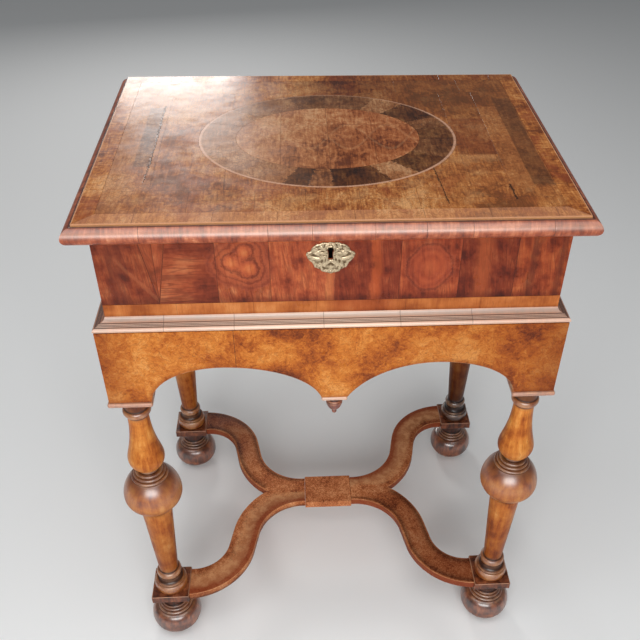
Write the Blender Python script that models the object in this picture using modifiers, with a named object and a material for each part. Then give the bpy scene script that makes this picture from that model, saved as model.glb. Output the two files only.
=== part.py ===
"""A lace box on stand: a walnut box with a hinged, locking lid that lifts off a stand with turned legs.

Units are metres. The origin is on the floor under the middle of the stand, with +X to the right
as seen from the front, +Y to the back and +Z up.
"""

import math

import bmesh
import bpy
from mathutils import Vector

# Fits
GAP = 0.0003  # glue line, or the seat between two pieces that touch
RUNNING = 0.0003  # round a dowel, a hinge pin, a let-in leaf or the lock's bolt

# Box
BOX_WIDTH = 0.530
BOX_DEPTH = 0.400
BOX_HEIGHT = 0.0893
BOX_WALL = 0.015
BOX_BOTTOM = 0.010

# Lid
LID_OVERHANG = 0.0118  # past the box in front and at the sides, flush at the back
LID_BOARD = 0.0212
VENEER = 0.0015
CROSSBAND = 0.0210
OVAL_LENGTH = 0.322
OVAL_WIDTH = 0.268
OVAL_BAND = 0.0460  # the ring of dark and light segments round the oval's centre
LID_ROUND = 0.0110  # how far the half-round edge moulding stands out

# Hinges
HINGE_INSET = 0.100  # from the box's end to the middle of a hinge
HINGE_LENGTH = 0.048
HINGE_MARGIN = 0.0030  # wood left in front of a leaf on the box's back edge
HINGE_THICK = 0.0015
HINGE_KNUCKLE = 0.0035
HINGE_PIN = 0.0014
HINGE_PIN_HEAD = 0.0010  # the pin's length past each end of the knuckles

# Lock
KEYHOLE_X = -0.0050  # the lock sits a little left of the middle
KEYHOLE_DROP = 0.0207  # from the box's rim to the middle of the keyhole's round
KEYHOLE_ROUND = 0.0034
KEYHOLE_SLOT = 0.0048
KEYHOLE_LENGTH = 0.0117  # from the middle of the round to the end of the slot
LOCK_WIDTH = 0.056
LOCK_RIM = 0.0060  # the case under the end of the keyhole
LOCK_DEPTH = 0.0150
LOCK_DROP = 0.0024  # the case's top lies this far under the rim, to clear the staple's plate
LOCK_WALL = 0.0050  # what is left behind the blind keyhole
STAPLE_OFFSET = 0.0100  # from the keyhole to the staple, along X
STAPLE_WIDTH = 0.030
STAPLE_DEPTH = 0.0110
STAPLE_PLATE = 0.0015
STAPLE_DROP = 0.0080  # from the plate's underside to the bolt
STAPLE_BAR = 0.0018  # the loop's metal round its eye
STAPLE_THICK = 0.0030
STAPLE_EASE = 0.0006  # round the bolt in the eye, and round the loop in the case
BOLT_LENGTH = 0.026
BOLT_THICK = 0.0032
BOLT_HEIGHT = 0.0060
BOLT_TRAVEL = 0.0080
ESCUTCHEON_THICK = 0.0020
ESCUTCHEON_DROP = 0.0093  # from the middle of the keyhole's round to the plate's middle

# Stand
STAND_STEP = 0.0135  # the frieze stands this far out from the box in front and at the sides
FRAME_HEIGHT = 0.0304
FRAME_RAIL = 0.040
MOULDING_HEIGHT = 0.0145
MOULDING_PROUD = 0.0010  # past the frieze
MOULDING_TORUS = 0.0031  # radius of the round along the lower edge
MOULDING_REED = 0.0008
MOULDING_STEP = 0.0014
FRIEZE_HEIGHT = 0.109
FRIEZE_RAIL = 0.0145
ARCH_HEIGHT = 0.0530
POST = 0.036
POST_WALL = 0.00265  # left between the leg's dowel and the outer faces of the post
CAP_THICK = 0.0060
CAP_ROUND = 0.0020
CAP_LIP = 0.0025  # past the outer faces of the frieze
PENDANT_WIDTH = 0.0330
PENDANT_LIP = 0.0040  # the pendant's plate past the back of the rail
PENDANT_NECK = 0.0088
PENDANT_NECK_HEIGHT = 0.0015
PENDANT_CUP = 0.0110
PENDANT_CUP_RIM = 0.0030
PENDANT_CUP_HEIGHT = 0.0160
PENDANT_BEAD = 0.0030
PENDANT_BEAD_HEIGHT = 0.0075
PENDANT_SPIGOT = 0.0035
PENDANT_SPIGOT_LENGTH = 0.0120

# Legs, feet and stretcher
LEG_LENGTH = 0.4015
DOWEL = 0.0075
DOWEL_DEPTH = 0.0280  # into the post above and the foot below
HEAD = 0.0215  # the head's radius under the cap
HEAD_COVE_HEIGHT = 0.0218
ASTRAGAL_EDGE = 0.0150
ASTRAGAL = 0.0183
ASTRAGAL_HEIGHT = 0.0095
NECK = 0.0137
NECK_FILLET = 0.0015
BELLY = 0.0247
BELLY_RISE = 0.0800  # from the belly up to the neck
BELLY_FALL = 0.0184
VASE_END = 0.0149
VASE_BEAD_EDGE = 0.0128
VASE_BEAD = 0.0143
VASE_BEAD_HEIGHT = 0.0060
LEG_RINGS = (0.0188, 0.0221, 0.0254)
LEG_RING_HEIGHT = 0.0042
BALL = 0.0405
BALL_RISE = 0.0340
BALL_FALL = 0.0240
TAPER_TOP = 0.0224
TAPER_END = 0.0142
COLLAR_EDGE = 0.0150
COLLAR = 0.0188
COLLAR_HEIGHT = 0.0115
BASE_COVE_END = 0.0205
BASE_COVE_HEIGHT = 0.0100
BASE_RING = 0.0220
BASE_RING_HEIGHT = 0.0040
BASE_TORUS_EDGE = 0.0225
BASE_TORUS = 0.0252
BASE_TORUS_HEIGHT = 0.0155
FOOT_HEIGHT = 0.0855
FOOT_TOP = 0.0225
FOOT_NECK = 0.0180
FOOT_COVE_HEIGHT = 0.0240
FOOT_RINGS = ((0.0205, 0.0045), (0.0235, 0.0040), (0.0270, 0.0040))  # radius and height of each
FOOT_BUN = 0.0387
FOOT_BUN_LEVEL = 0.0285  # height of the bun's widest part
FOOT_SOLE = 0.0115
PAD_WIDTH = 0.0570
PAD_THICK = 0.0132
ARM_WIDTH = 0.0420  # along the straight length of an arm
ARM_END_WIDTH = 0.0480
CROSS_WIDTH = 0.0530  # the two arms side by side at the middle block
BLOCK_LENGTH = 0.080
BLOCK_WIDTH = 0.060
INNER_SWEEP = 0.56  # share of an arm's two radii that belongs to the arc by the block
ARM_TURN = 0.89  # share of the turn that two arcs alone would take; a straight length makes up the rest

# Facets
TURNED_STEPS = 16
ARC_STEPS = 20
OVAL_STEPS = 48

# Levels, from the floor up
PAD_LOW = FOOT_HEIGHT + GAP
PAD_TOP = PAD_LOW + PAD_THICK
LEG_LOW = PAD_TOP + GAP
LEG_TOP = LEG_LOW + LEG_LENGTH
CAP_LOW = LEG_TOP + GAP
CAP_TOP = CAP_LOW + CAP_THICK
FRIEZE_LOW = CAP_TOP + GAP
FRIEZE_TOP = FRIEZE_LOW + FRIEZE_HEIGHT
FRAME_LOW = FRIEZE_TOP + GAP
FRAME_TOP = FRAME_LOW + FRAME_HEIGHT
BOX_LOW = FRAME_TOP + GAP
BOX_TOP = BOX_LOW + BOX_HEIGHT
LID_LOW = BOX_TOP + GAP
LID_TOP = LID_LOW + LID_BOARD
VENEER_LOW = LID_TOP + GAP

# Plan
STAND_X = BOX_WIDTH / 2 + STAND_STEP
STAND_Y = (BOX_DEPTH + STAND_STEP) / 2
BOX_X = BOX_WIDTH / 2
BOX_FRONT = -STAND_Y + STAND_STEP
BACK = STAND_Y
LID_X = BOX_X + LID_OVERHANG
LID_FRONT = BOX_FRONT - LID_OVERHANG
LEG_INSET = FRIEZE_RAIL + GAP + POST_WALL + RUNNING + DOWEL
LEG_X = STAND_X - LEG_INSET
LEG_Y = STAND_Y - LEG_INSET
CAP_WIDTH = 2 * (LEG_INSET + CAP_LIP)
HINGE_LEAF = BOX_WALL - HINGE_MARGIN
HINGE_AXIS = Vector((0, BACK + GAP + HINGE_KNUCKLE, BOX_TOP + GAP / 2))
LOCK_FRONT = BOX_FRONT + BOX_WALL + GAP
LOCK_MIDDLE = LOCK_FRONT + LOCK_DEPTH / 2
LOCK_TOP = BOX_TOP - LOCK_DROP
KEYHOLE_Z = BOX_TOP - KEYHOLE_DROP
LOCK_LOW = KEYHOLE_Z - KEYHOLE_LENGTH - LOCK_RIM
STAPLE_X = KEYHOLE_X + STAPLE_OFFSET
STAPLE_LOW = LID_LOW - GAP - STAPLE_PLATE
BOLT_Z = STAPLE_LOW - STAPLE_DROP
EYE_Y = BOLT_THICK / 2 + STAPLE_EASE
EYE_Z = BOLT_HEIGHT / 2 + STAPLE_EASE
LOOP_Y = EYE_Y + STAPLE_BAR
LOOP_LOW = BOLT_Z - EYE_Z - STAPLE_BAR

CORNERS = {
    "front_left": (-1, -1),
    "front_right": (1, -1),
    "back_left": (-1, 1),
    "back_right": (1, 1),
}
UPRIGHT_FRONT = (math.pi / 2, 0, 0)  # an outline's x runs along +X, its y up
UPRIGHT_SIDE = (math.pi / 2, 0, math.pi / 2)  # an outline's x runs along +Y, its y up
OUT_FRONT = (math.pi / 2, 0, -math.pi / 2)  # a moulding's x points out of the front
OUT_LEFT = (math.pi / 2, 0, math.pi)
OUT_RIGHT = (math.pi / 2, 0, 0)

for old in list(bpy.data.objects):
    bpy.data.objects.remove(old, do_unlink=True)

PIECES = bpy.data.collections.new("box_on_stand")
CUTTERS = bpy.data.collections.new("cutters")
bpy.context.scene.collection.children.link(PIECES)
bpy.context.scene.collection.children.link(CUTTERS)


def material(name, colour, roughness, metallic=0.0):
    made = bpy.data.materials.new(name)
    made.use_nodes = True
    shader = made.node_tree.nodes["Principled BSDF"]
    shader.inputs["Base Color"].default_value = (*colour, 1)
    shader.inputs["Roughness"].default_value = roughness
    shader.inputs["Metallic"].default_value = metallic
    return made


RED_WALNUT = material("red_walnut_veneer", (0.20, 0.055, 0.025), 0.32)
GOLD_WALNUT = material("golden_burr_walnut", (0.36, 0.13, 0.035), 0.30)
LID_WALNUT = material("lid_walnut_veneer", (0.24, 0.090, 0.035), 0.28)
CROSS_WALNUT = material("cross_grain_walnut", (0.35, 0.12, 0.055), 0.28)
OYSTER = material("oyster_segments", (0.12, 0.055, 0.025), 0.30)
TURNED_WALNUT = material("turned_walnut", (0.32, 0.11, 0.030), 0.25)
DARK_WALNUT = material("dark_walnut", (0.11, 0.040, 0.022), 0.28)
STRETCHER_WALNUT = material("stretcher_burr", (0.20, 0.075, 0.030), 0.35)
PINE = material("pine_carcase", (0.42, 0.26, 0.13), 0.60)
BRASS = material("cast_brass", (0.62, 0.50, 0.26), 0.35, 1.0)
IRON = material("wrought_iron", (0.10, 0.09, 0.085), 0.55, 1.0)


def empty(name, location, parent=None):
    """A joint's own point, which carries the pieces that move with it."""
    made = bpy.data.objects.new(name, None)
    PIECES.objects.link(made)
    put(made, location, parent)
    return made


def put(piece, location, parent=None):
    """Places a piece at a world location, carried by an unturned parent."""
    piece.parent = parent
    piece.location = Vector(location)
    while parent:
        piece.location -= parent.location
        parent = parent.parent


def add(name, mesh, location, finish=None, rotation=(0, 0, 0), parent=None):
    """A named piece, or a cutter where it has no finish."""
    piece = bpy.data.objects.new(name, mesh)
    (PIECES if finish else CUTTERS).objects.link(piece)
    if finish:
        if not mesh.materials:
            mesh.materials.append(finish)
    else:
        piece.hide_render = True
        piece.display_type = "WIRE"
    piece.rotation_euler = rotation
    put(piece, location, parent)
    return piece


def slab(name, low, high, finish=None, parent=None, round_edge=0.0):
    """A board between two corners, with its long edges rounded over where asked."""
    low, high = Vector(low), Vector(high)
    shape = bmesh.new()
    bmesh.ops.create_cube(shape, size=1)
    bmesh.ops.scale(shape, vec=high - low, verts=shape.verts)
    mesh = bpy.data.meshes.new(name)
    shape.to_mesh(mesh)
    shape.free()
    piece = add(name, mesh, (low + high) / 2, finish, parent=parent)
    if round_edge:
        bevel = piece.modifiers.new("rounded_edges", "BEVEL")
        bevel.width = round_edge
        bevel.segments = 2
    return piece


def prism(name, outlines, length):
    """A mesh with the outlines' section, holes included, centred on its length along Z."""
    curve = bpy.data.curves.new(name, "CURVE")
    curve.dimensions = "2D"
    curve.fill_mode = "BOTH"
    curve.extrude = length / 2
    for outline in outlines:
        spline = curve.splines.new("POLY")
        spline.points.add(len(outline) - 1)
        spline.use_cyclic_u = True
        for point, (x, y) in zip(spline.points, outline):
            point.co = (x, y, 0, 1)
    drawn = bpy.data.objects.new(name, curve)
    CUTTERS.objects.link(drawn)
    bpy.context.view_layer.update()
    mesh = bpy.data.meshes.new_from_object(drawn.evaluated_get(bpy.context.evaluated_depsgraph_get()))
    bpy.data.objects.remove(drawn)
    bpy.data.curves.remove(curve)
    shape = bmesh.new()
    shape.from_mesh(mesh)
    bmesh.ops.remove_doubles(shape, verts=shape.verts, dist=1e-6)
    bmesh.ops.recalc_face_normals(shape, faces=shape.faces)
    shape.to_mesh(mesh)
    shape.free()
    mesh.name = name
    return mesh


def mitred(mesh, at_low_end, at_high_end):
    """Slants a moulding's ends, so that each lengthens by as much as the section stands out."""
    for vertex in mesh.vertices:
        if vertex.co.z > 0 and at_high_end:
            vertex.co.z += vertex.co.x
        elif vertex.co.z < 0 and at_low_end:
            vertex.co.z -= vertex.co.x
    return mesh


def rod(name, radius, length, segments):
    """A plain round rod along Z, centred on its length."""
    shape = bmesh.new()
    bmesh.ops.create_cone(
        shape, segments=segments, radius1=radius, radius2=radius, depth=length, cap_ends=True
    )
    mesh = bpy.data.meshes.new(name)
    shape.to_mesh(mesh)
    shape.free()
    return mesh


def turned(name, profile):
    """A turning's half section, given from the top of the axis down the outer side."""
    mesh = bpy.data.meshes.new(name)
    mesh.from_pydata([(r, 0, z) for r, z in profile], [(i, i + 1) for i in range(len(profile) - 1)], [])
    return mesh


def spin(piece):
    screw = piece.modifiers.new("turning", "SCREW")
    screw.axis = "Z"
    screw.steps = screw.render_steps = TURNED_STEPS
    screw.use_merge_vertices = True
    screw.merge_threshold = 1e-5
    screw.use_smooth_shade = True
    return piece


def boolean(piece, other, operation="DIFFERENCE"):
    modifier = piece.modifiers.new(f"{operation.lower()}_{other.name}", "BOOLEAN")
    modifier.operation = operation
    modifier.object = other
    modifier.solver = "EXACT"


def arc(centre, radii, start, end, steps):
    """Points of an elliptical arc, with its angles in degrees."""
    points = []
    for i in range(steps + 1):
        angle = math.radians(start + (end - start) * i / steps)
        points.append((centre[0] + radii[0] * math.cos(angle), centre[1] + radii[1] * math.sin(angle)))
    return points


def rectangle(half_x, low_y, high_y):
    return [(-half_x, low_y), (half_x, low_y), (half_x, high_y), (-half_x, high_y)]


def ellipse(length, width):
    return arc((0, 0), (length / 2, width / 2), 0, 360, OVAL_STEPS)[:-1]


class Turning:
    """Half section of a turning, drawn downwards from a height in members of a radius and a height."""

    def __init__(self, z):
        self.z = z
        self.points = []

    def at(self, radius, drop=0.0):
        self.z -= drop
        self.points.append((radius, self.z))

    def bead(self, edge, most, height, steps=3):
        top = self.z
        self.points += arc((edge, top - height / 2), (most - edge, height / 2), 90, -90, steps)
        self.z = top - height

    def cove(self, upper, lower, height, steps=3):
        """A quarter hollow between two radii."""
        if upper > lower:
            self.points += arc((upper, self.z - height), (lower - upper, height), 90, 0, steps)
        else:
            self.points += arc((lower, self.z), (upper - lower, -height), 0, 90, steps)
        self.z -= height

    def round_in(self, most, lower, height, steps=4):
        """The lower part of a ball that is centred on the axis."""
        end = math.degrees(math.acos(lower / most))
        self.points += arc((0, self.z), (most, height / math.sin(math.radians(end))), 0, -end, steps)
        self.z -= height

    def round_out(self, upper, most, height, steps=4):
        """The upper part of a ball that is centred on the axis."""
        start = math.degrees(math.acos(upper / most))
        rise = height / math.sin(math.radians(start))
        self.points += arc((0, self.z - height), (most, rise), start, 0, steps)
        self.z -= height

    def swell(self, upper, lower, height, steps=6):
        """A neck that stays slim and then swells into a belly, as one Bezier curve."""
        hold, catch = 0.64, 0.84  # where the two handles end, as shares of the height
        for i in range(steps + 1):
            t = i / steps
            b = ((1 - t) ** 3, 3 * t * (1 - t) ** 2, 3 * t * t * (1 - t), t**3)
            radius = upper * (b[0] + b[1]) + lower * (b[2] + b[3])
            drop = height * (b[1] * hold + b[2] * catch + b[3])
            self.points.append((radius, self.z - drop))
        self.z -= height

    def profile(self):
        """The points, without those that repeat the one before."""
        kept = self.points[:1]
        for point in self.points[1:]:
            if math.dist(point, kept[-1]) > 1e-6:
                kept.append(point)
        return kept


def leg_profile():
    """Dowel, cove, astragal, vase, stepped rings, ball, taper, collar and base torus, as one turning."""
    leg = Turning(FRIEZE_LOW + DOWEL_DEPTH)
    leg.at(0)
    leg.at(DOWEL)
    leg.at(DOWEL, leg.z - LEG_TOP)
    leg.cove(HEAD, ASTRAGAL_EDGE, HEAD_COVE_HEIGHT)
    leg.bead(ASTRAGAL_EDGE, ASTRAGAL, ASTRAGAL_HEIGHT, 4)
    leg.at(NECK, NECK_FILLET)
    leg.swell(NECK, BELLY, BELLY_RISE)
    leg.round_in(BELLY, VASE_END, BELLY_FALL)
    leg.bead(VASE_BEAD_EDGE, VASE_BEAD, VASE_BEAD_HEIGHT)
    for radius in LEG_RINGS:
        leg.at(radius)
        leg.at(radius, LEG_RING_HEIGHT)
    leg.round_out(LEG_RINGS[-1], BALL, BALL_RISE)
    leg.round_in(BALL, TAPER_TOP, BALL_FALL)
    base = COLLAR_HEIGHT + BASE_COVE_HEIGHT + BASE_RING_HEIGHT + BASE_TORUS_HEIGHT
    leg.at(TAPER_END, leg.z - LEG_LOW - base)
    leg.bead(COLLAR_EDGE, COLLAR, COLLAR_HEIGHT)
    leg.cove(COLLAR_EDGE, BASE_COVE_END, BASE_COVE_HEIGHT)
    leg.at(BASE_RING)
    leg.at(BASE_RING, BASE_RING_HEIGHT)
    leg.bead(BASE_TORUS_EDGE, BASE_TORUS, BASE_TORUS_HEIGHT, 4)
    leg.at(DOWEL)
    leg.at(DOWEL, leg.z - FOOT_HEIGHT + DOWEL_DEPTH)
    leg.at(0)
    return leg.profile()


def foot_profile():
    """A bun foot with three rings on its neck, bored for the leg's dowel."""
    foot = Turning(FOOT_HEIGHT - DOWEL_DEPTH - RUNNING)
    foot.at(0)
    foot.at(DOWEL + RUNNING)
    foot.at(DOWEL + RUNNING, foot.z - FOOT_HEIGHT)
    foot.cove(FOOT_TOP, FOOT_NECK, FOOT_COVE_HEIGHT)
    for radius, height in FOOT_RINGS:
        foot.at(radius)
        foot.at(radius, height)
    edge = FOOT_RINGS[-1][0]
    foot.points += arc((edge, FOOT_BUN_LEVEL), (FOOT_BUN - edge, foot.z - FOOT_BUN_LEVEL), 90, 0, 4)
    foot.points += arc((FOOT_SOLE, FOOT_BUN_LEVEL), (FOOT_BUN - FOOT_SOLE, FOOT_BUN_LEVEL), 0, -90, 4)
    foot.points.append((0, 0))
    return foot.profile()


def arm_outline():
    """Plan of the front right arm: an arc by the middle block, a straight length, an arc by the leg's pad."""
    start = Vector((BLOCK_LENGTH / 2 + GAP, -(CROSS_WIDTH - ARM_END_WIDTH) / 2))
    end = Vector((LEG_X - PAD_WIDTH / 2 - GAP, -LEG_Y))
    run = end - start
    turn = ARM_TURN * 2 * math.atan2(-run.y, run.x)
    radii = (run.x * math.sin(turn) + run.y * math.cos(turn)) / (1 - math.cos(turn))
    steps = ARC_STEPS // 2
    inner, outer = [], []
    for i in range(2 * steps + 2):
        share = min(i, 2 * steps + 1 - i) / steps
        angle = turn * share
        sweep = radii * Vector((math.sin(angle), math.cos(angle) - 1))
        middle = start + INNER_SWEEP * sweep if i <= steps else end - (1 - INNER_SWEEP) * sweep
        half = ARM_WIDTH / 2 + (ARM_END_WIDTH - ARM_WIDTH) / 2 * (1 - share) ** 2
        across = half * Vector((math.sin(angle), math.cos(angle)))
        inner.append(tuple(middle - across))
        outer.append(tuple(middle + across))
    return inner + [(x, min(y, -GAP / 2)) for x, y in reversed(outer)]


def make_legs_and_feet():
    leg_mesh, foot_mesh = turned("leg", leg_profile()), turned("foot", foot_profile())
    bore_low = FOOT_HEIGHT - DOWEL_DEPTH
    bore_top = FRIEZE_LOW + DOWEL_DEPTH + RUNNING
    for corner, (side, end) in CORNERS.items():
        x, y = side * LEG_X, end * LEG_Y
        spin(add(f"leg_{corner}", leg_mesh, (x, y, 0), TURNED_WALNUT))
        spin(add(f"foot_{corner}", foot_mesh, (x, y, 0), DARK_WALNUT))
        bore = rod("dowel_bore", DOWEL + RUNNING, bore_top - bore_low, TURNED_STEPS)
        cutter = add(f"bore_{corner}", bore, (x, y, (bore_top + bore_low) / 2))
        half_pad, half_cap = PAD_WIDTH / 2, CAP_WIDTH / 2
        pad = slab(
            f"pad_{corner}",
            (x - half_pad, y - half_pad, PAD_LOW),
            (x + half_pad, y + half_pad, PAD_TOP),
            DARK_WALNUT,
        )
        cap = slab(
            f"cap_{corner}",
            (x - half_cap, y - half_cap, CAP_LOW),
            (x + half_cap, y + half_cap, CAP_TOP),
            CROSS_WALNUT,
            round_edge=CAP_ROUND,
        )
        face_x, face_y = STAND_X - FRIEZE_RAIL - GAP, STAND_Y - FRIEZE_RAIL - GAP
        post_x = sorted((side * face_x, side * (face_x - POST)))
        post_y = sorted((end * face_y, end * (face_y - POST)))
        post = slab(
            f"corner_post_{corner}",
            (post_x[0], post_y[0], FRIEZE_LOW),
            (post_x[1], post_y[1], FRIEZE_TOP),
            PINE,
        )
        for piece in (pad, cap, post):
            boolean(piece, cutter)


def make_stretcher():
    middle = PAD_LOW + PAD_THICK / 2
    front_right = arm_outline()
    for corner, (side, end) in CORNERS.items():
        outline = [(side * x, -end * y) for x, y in front_right]
        mesh = prism(f"stretcher_arm_{corner}", [outline], PAD_THICK)
        add(mesh.name, mesh, (0, 0, middle), STRETCHER_WALNUT)
    slab(
        "stretcher_block",
        (-BLOCK_LENGTH / 2, -BLOCK_WIDTH / 2, PAD_LOW),
        (BLOCK_LENGTH / 2, BLOCK_WIDTH / 2, PAD_TOP),
        STRETCHER_WALNUT,
    )


def make_frieze():
    """Veneered rails: two arches in front with a pendant between, one arch at each side, a plain back."""
    inner_x, inner_y = LEG_X - CAP_WIDTH / 2, LEG_Y - CAP_WIDTH / 2
    span = (inner_x - PENDANT_WIDTH / 2) / 2
    middle = (inner_x + PENDANT_WIDTH / 2) / 2
    arches = []
    for centre in (-middle, middle):
        arches += arc((centre, 0), (span, ARCH_HEIGHT), 180, 0, ARC_STEPS)
    front = [(-STAND_X, 0), *arches, (STAND_X, 0), (STAND_X, FRIEZE_HEIGHT), (-STAND_X, FRIEZE_HEIGHT)]
    rail = STAND_Y - FRIEZE_RAIL / 2
    frieze_front = add(
        "frieze_front",
        prism("frieze_front", [front], FRIEZE_RAIL),
        (0, -rail, FRIEZE_LOW),
        GOLD_WALNUT,
        UPRIGHT_FRONT,
    )
    end = STAND_Y - FRIEZE_RAIL - GAP
    arch = arc((0, 0), (inner_y, ARCH_HEIGHT), 180, 0, ARC_STEPS)
    side = [(-end, 0), *arch, (end, 0), (end, FRIEZE_HEIGHT), (-end, FRIEZE_HEIGHT)]
    for name, direction in (("frieze_left", -1), ("frieze_right", 1)):
        x = direction * (STAND_X - FRIEZE_RAIL / 2)
        add(name, prism(name, [side], FRIEZE_RAIL), (x, 0, FRIEZE_LOW), GOLD_WALNUT, UPRIGHT_SIDE)
    slab("frieze_back", (-STAND_X, STAND_Y - FRIEZE_RAIL, FRIEZE_LOW), (STAND_X, STAND_Y, FRIEZE_TOP), PINE)
    make_pendant(frieze_front)


def make_pendant(rail):
    """A square plate with a turned cup and bead under it, on a spigot in the rail."""
    depth = FRIEZE_RAIL + PENDANT_LIP
    y = -STAND_Y + depth / 2
    plate = slab(
        "pendant",
        (-PENDANT_WIDTH / 2, y - depth / 2, CAP_LOW),
        (PENDANT_WIDTH / 2, y + depth / 2, CAP_TOP),
        CROSS_WALNUT,
        round_edge=CAP_ROUND,
    )
    drop = Turning(FRIEZE_LOW + PENDANT_SPIGOT_LENGTH)
    drop.at(0)
    drop.at(PENDANT_SPIGOT)
    drop.at(PENDANT_SPIGOT, drop.z - CAP_TOP + CAP_THICK / 2)
    drop.at(PENDANT_NECK)
    drop.at(PENDANT_NECK, drop.z - CAP_LOW + PENDANT_NECK_HEIGHT)
    drop.at(PENDANT_CUP)
    drop.at(PENDANT_CUP, PENDANT_CUP_RIM)
    drop.round_in(PENDANT_CUP, PENDANT_BEAD * 0.7, PENDANT_CUP_HEIGHT)
    drop.points += arc(
        (0, drop.z - PENDANT_BEAD_HEIGHT / 2), (PENDANT_BEAD, PENDANT_BEAD_HEIGHT / 2), 48, -90, 5
    )
    turning = spin(add("pendant_turning", turned("pendant_turning", drop.profile()), (0, y, 0)))
    boolean(plate, turning, "UNION")
    hole = rod(
        "pendant_hole", PENDANT_SPIGOT + RUNNING, 2 * (PENDANT_SPIGOT_LENGTH + RUNNING), TURNED_STEPS
    )
    boolean(rail, add("pendant_hole", hole, (0, y, FRIEZE_LOW)))


def make_top_frame():
    """Four rails under the box, with the box's own outline."""
    ends = ((BOX_FRONT, BOX_FRONT + FRAME_RAIL), (BACK - FRAME_RAIL, BACK))
    for name, (low, high) in zip(("top_rail_front", "top_rail_back"), ends):
        slab(name, (-BOX_X, low, FRAME_LOW), (BOX_X, high, FRAME_TOP), GOLD_WALNUT)
    for name, direction in (("top_rail_left", -1), ("top_rail_right", 1)):
        sides = sorted((direction * BOX_X, direction * (BOX_X - FRAME_RAIL)))
        slab(
            name,
            (sides[0], BOX_FRONT + FRAME_RAIL + GAP, FRAME_LOW),
            (sides[1], BACK - FRAME_RAIL - GAP, FRAME_TOP),
            GOLD_WALNUT,
        )


def wrap(name, section, inner_x, inner_front, low, finish, parent=None):
    """A moulding round the front and both sides: three lengths, mitred where they meet."""
    out_x, out_front = inner_x + GAP, inner_front - GAP
    ease = GAP / math.sqrt(2)
    front_length = 2 * (out_x - ease)
    add(
        f"{name}_front",
        mitred(prism(f"{name}_front", [section], front_length), True, True),
        (0, out_front, low),
        finish,
        OUT_FRONT,
        parent,
    )
    side_length = BACK - out_front - ease
    middle = (BACK + out_front + ease) / 2
    for side, direction, turn in (("left", -1, OUT_LEFT), ("right", 1, OUT_RIGHT)):
        mesh = prism(f"{name}_{side}", [section], side_length)
        mitred(mesh, direction < 0, direction > 0)
        add(mesh.name, mesh, (direction * out_x, middle, low), finish, turn, parent)


def make_stand_moulding():
    """A hollow, two reeds and a torus, seated on the frieze's top edge against the top frame."""
    proud = STAND_STEP + MOULDING_PROUD - GAP
    reed_1 = 2 * MOULDING_TORUS + MOULDING_REED
    reed_2 = reed_1 + MOULDING_REED
    step_1 = proud - MOULDING_TORUS - MOULDING_STEP
    step_2 = step_1 - MOULDING_STEP
    brim = step_2 - MOULDING_STEP
    section = [(0, 0)]
    section += arc((proud - MOULDING_TORUS, MOULDING_TORUS), (MOULDING_TORUS, MOULDING_TORUS), -60, 90, 6)
    section += [(step_1, 2 * MOULDING_TORUS), (step_1, reed_1), (step_2, reed_1), (step_2, reed_2)]
    section += arc((brim, MOULDING_HEIGHT), (brim, MOULDING_HEIGHT - reed_2), -90, -180, 4)
    wrap("stand_moulding", section, BOX_X, BOX_FRONT, FRIEZE_TOP + GAP, CROSS_WALNUT)


def make_box(body):
    inner = BOX_X - BOX_WALL
    front = slab(
        "box_front", (-BOX_X, BOX_FRONT, BOX_LOW), (BOX_X, BOX_FRONT + BOX_WALL, BOX_TOP), RED_WALNUT, body
    )
    back = slab("box_back", (-BOX_X, BACK - BOX_WALL, BOX_LOW), (BOX_X, BACK, BOX_TOP), PINE, body)
    side_front, side_back = BOX_FRONT + BOX_WALL + GAP, BACK - BOX_WALL - GAP
    for name, direction in (("box_left", -1), ("box_right", 1)):
        sides = sorted((direction * BOX_X, direction * inner))
        slab(name, (sides[0], side_front, BOX_LOW), (sides[1], side_back, BOX_TOP), RED_WALNUT, body)
    slab(
        "box_bottom",
        (-inner + GAP, side_front, BOX_LOW),
        (inner - GAP, side_back, BOX_LOW + BOX_BOTTOM),
        PINE,
        body,
    )
    return front, back


def make_lid(lid):
    board = slab("lid_board", (-LID_X, LID_FRONT, LID_LOW), (LID_X, BACK, LID_TOP), PINE, lid)
    height = LID_BOARD + GAP
    section = arc((0, height / 2), (LID_ROUND, height / 2), -90, 90, 10)
    wrap("lid_moulding", section, LID_X, LID_FRONT, LID_LOW, CROSS_WALNUT, lid)
    middle = (LID_FRONT + BACK) / 2
    depth = (BACK - LID_FRONT) / 2
    edge = rectangle(LID_X, -depth, depth)
    band = rectangle(LID_X - CROSSBAND, CROSSBAND - depth, depth - CROSSBAND)
    field = rectangle(LID_X - CROSSBAND - GAP, CROSSBAND + GAP - depth, depth - CROSSBAND - GAP)
    inner_length, inner_width = OVAL_LENGTH - 2 * OVAL_BAND, OVAL_WIDTH - 2 * OVAL_BAND
    veneers = {
        "lid_crossband": ([edge, band], CROSS_WALNUT),
        "lid_field": ([field, ellipse(OVAL_LENGTH, OVAL_WIDTH)], LID_WALNUT),
        "lid_oval_band": (
            [ellipse(OVAL_LENGTH - 2 * GAP, OVAL_WIDTH - 2 * GAP), ellipse(inner_length, inner_width)],
            OYSTER,
        ),
        "lid_oval_centre": ([ellipse(inner_length - 2 * GAP, inner_width - 2 * GAP)], LID_WALNUT),
    }
    for name, (outlines, finish) in veneers.items():
        add(name, prism(name, outlines, VENEER), (0, middle, VENEER_LOW + VENEER / 2), finish, parent=lid)
    return board


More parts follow.
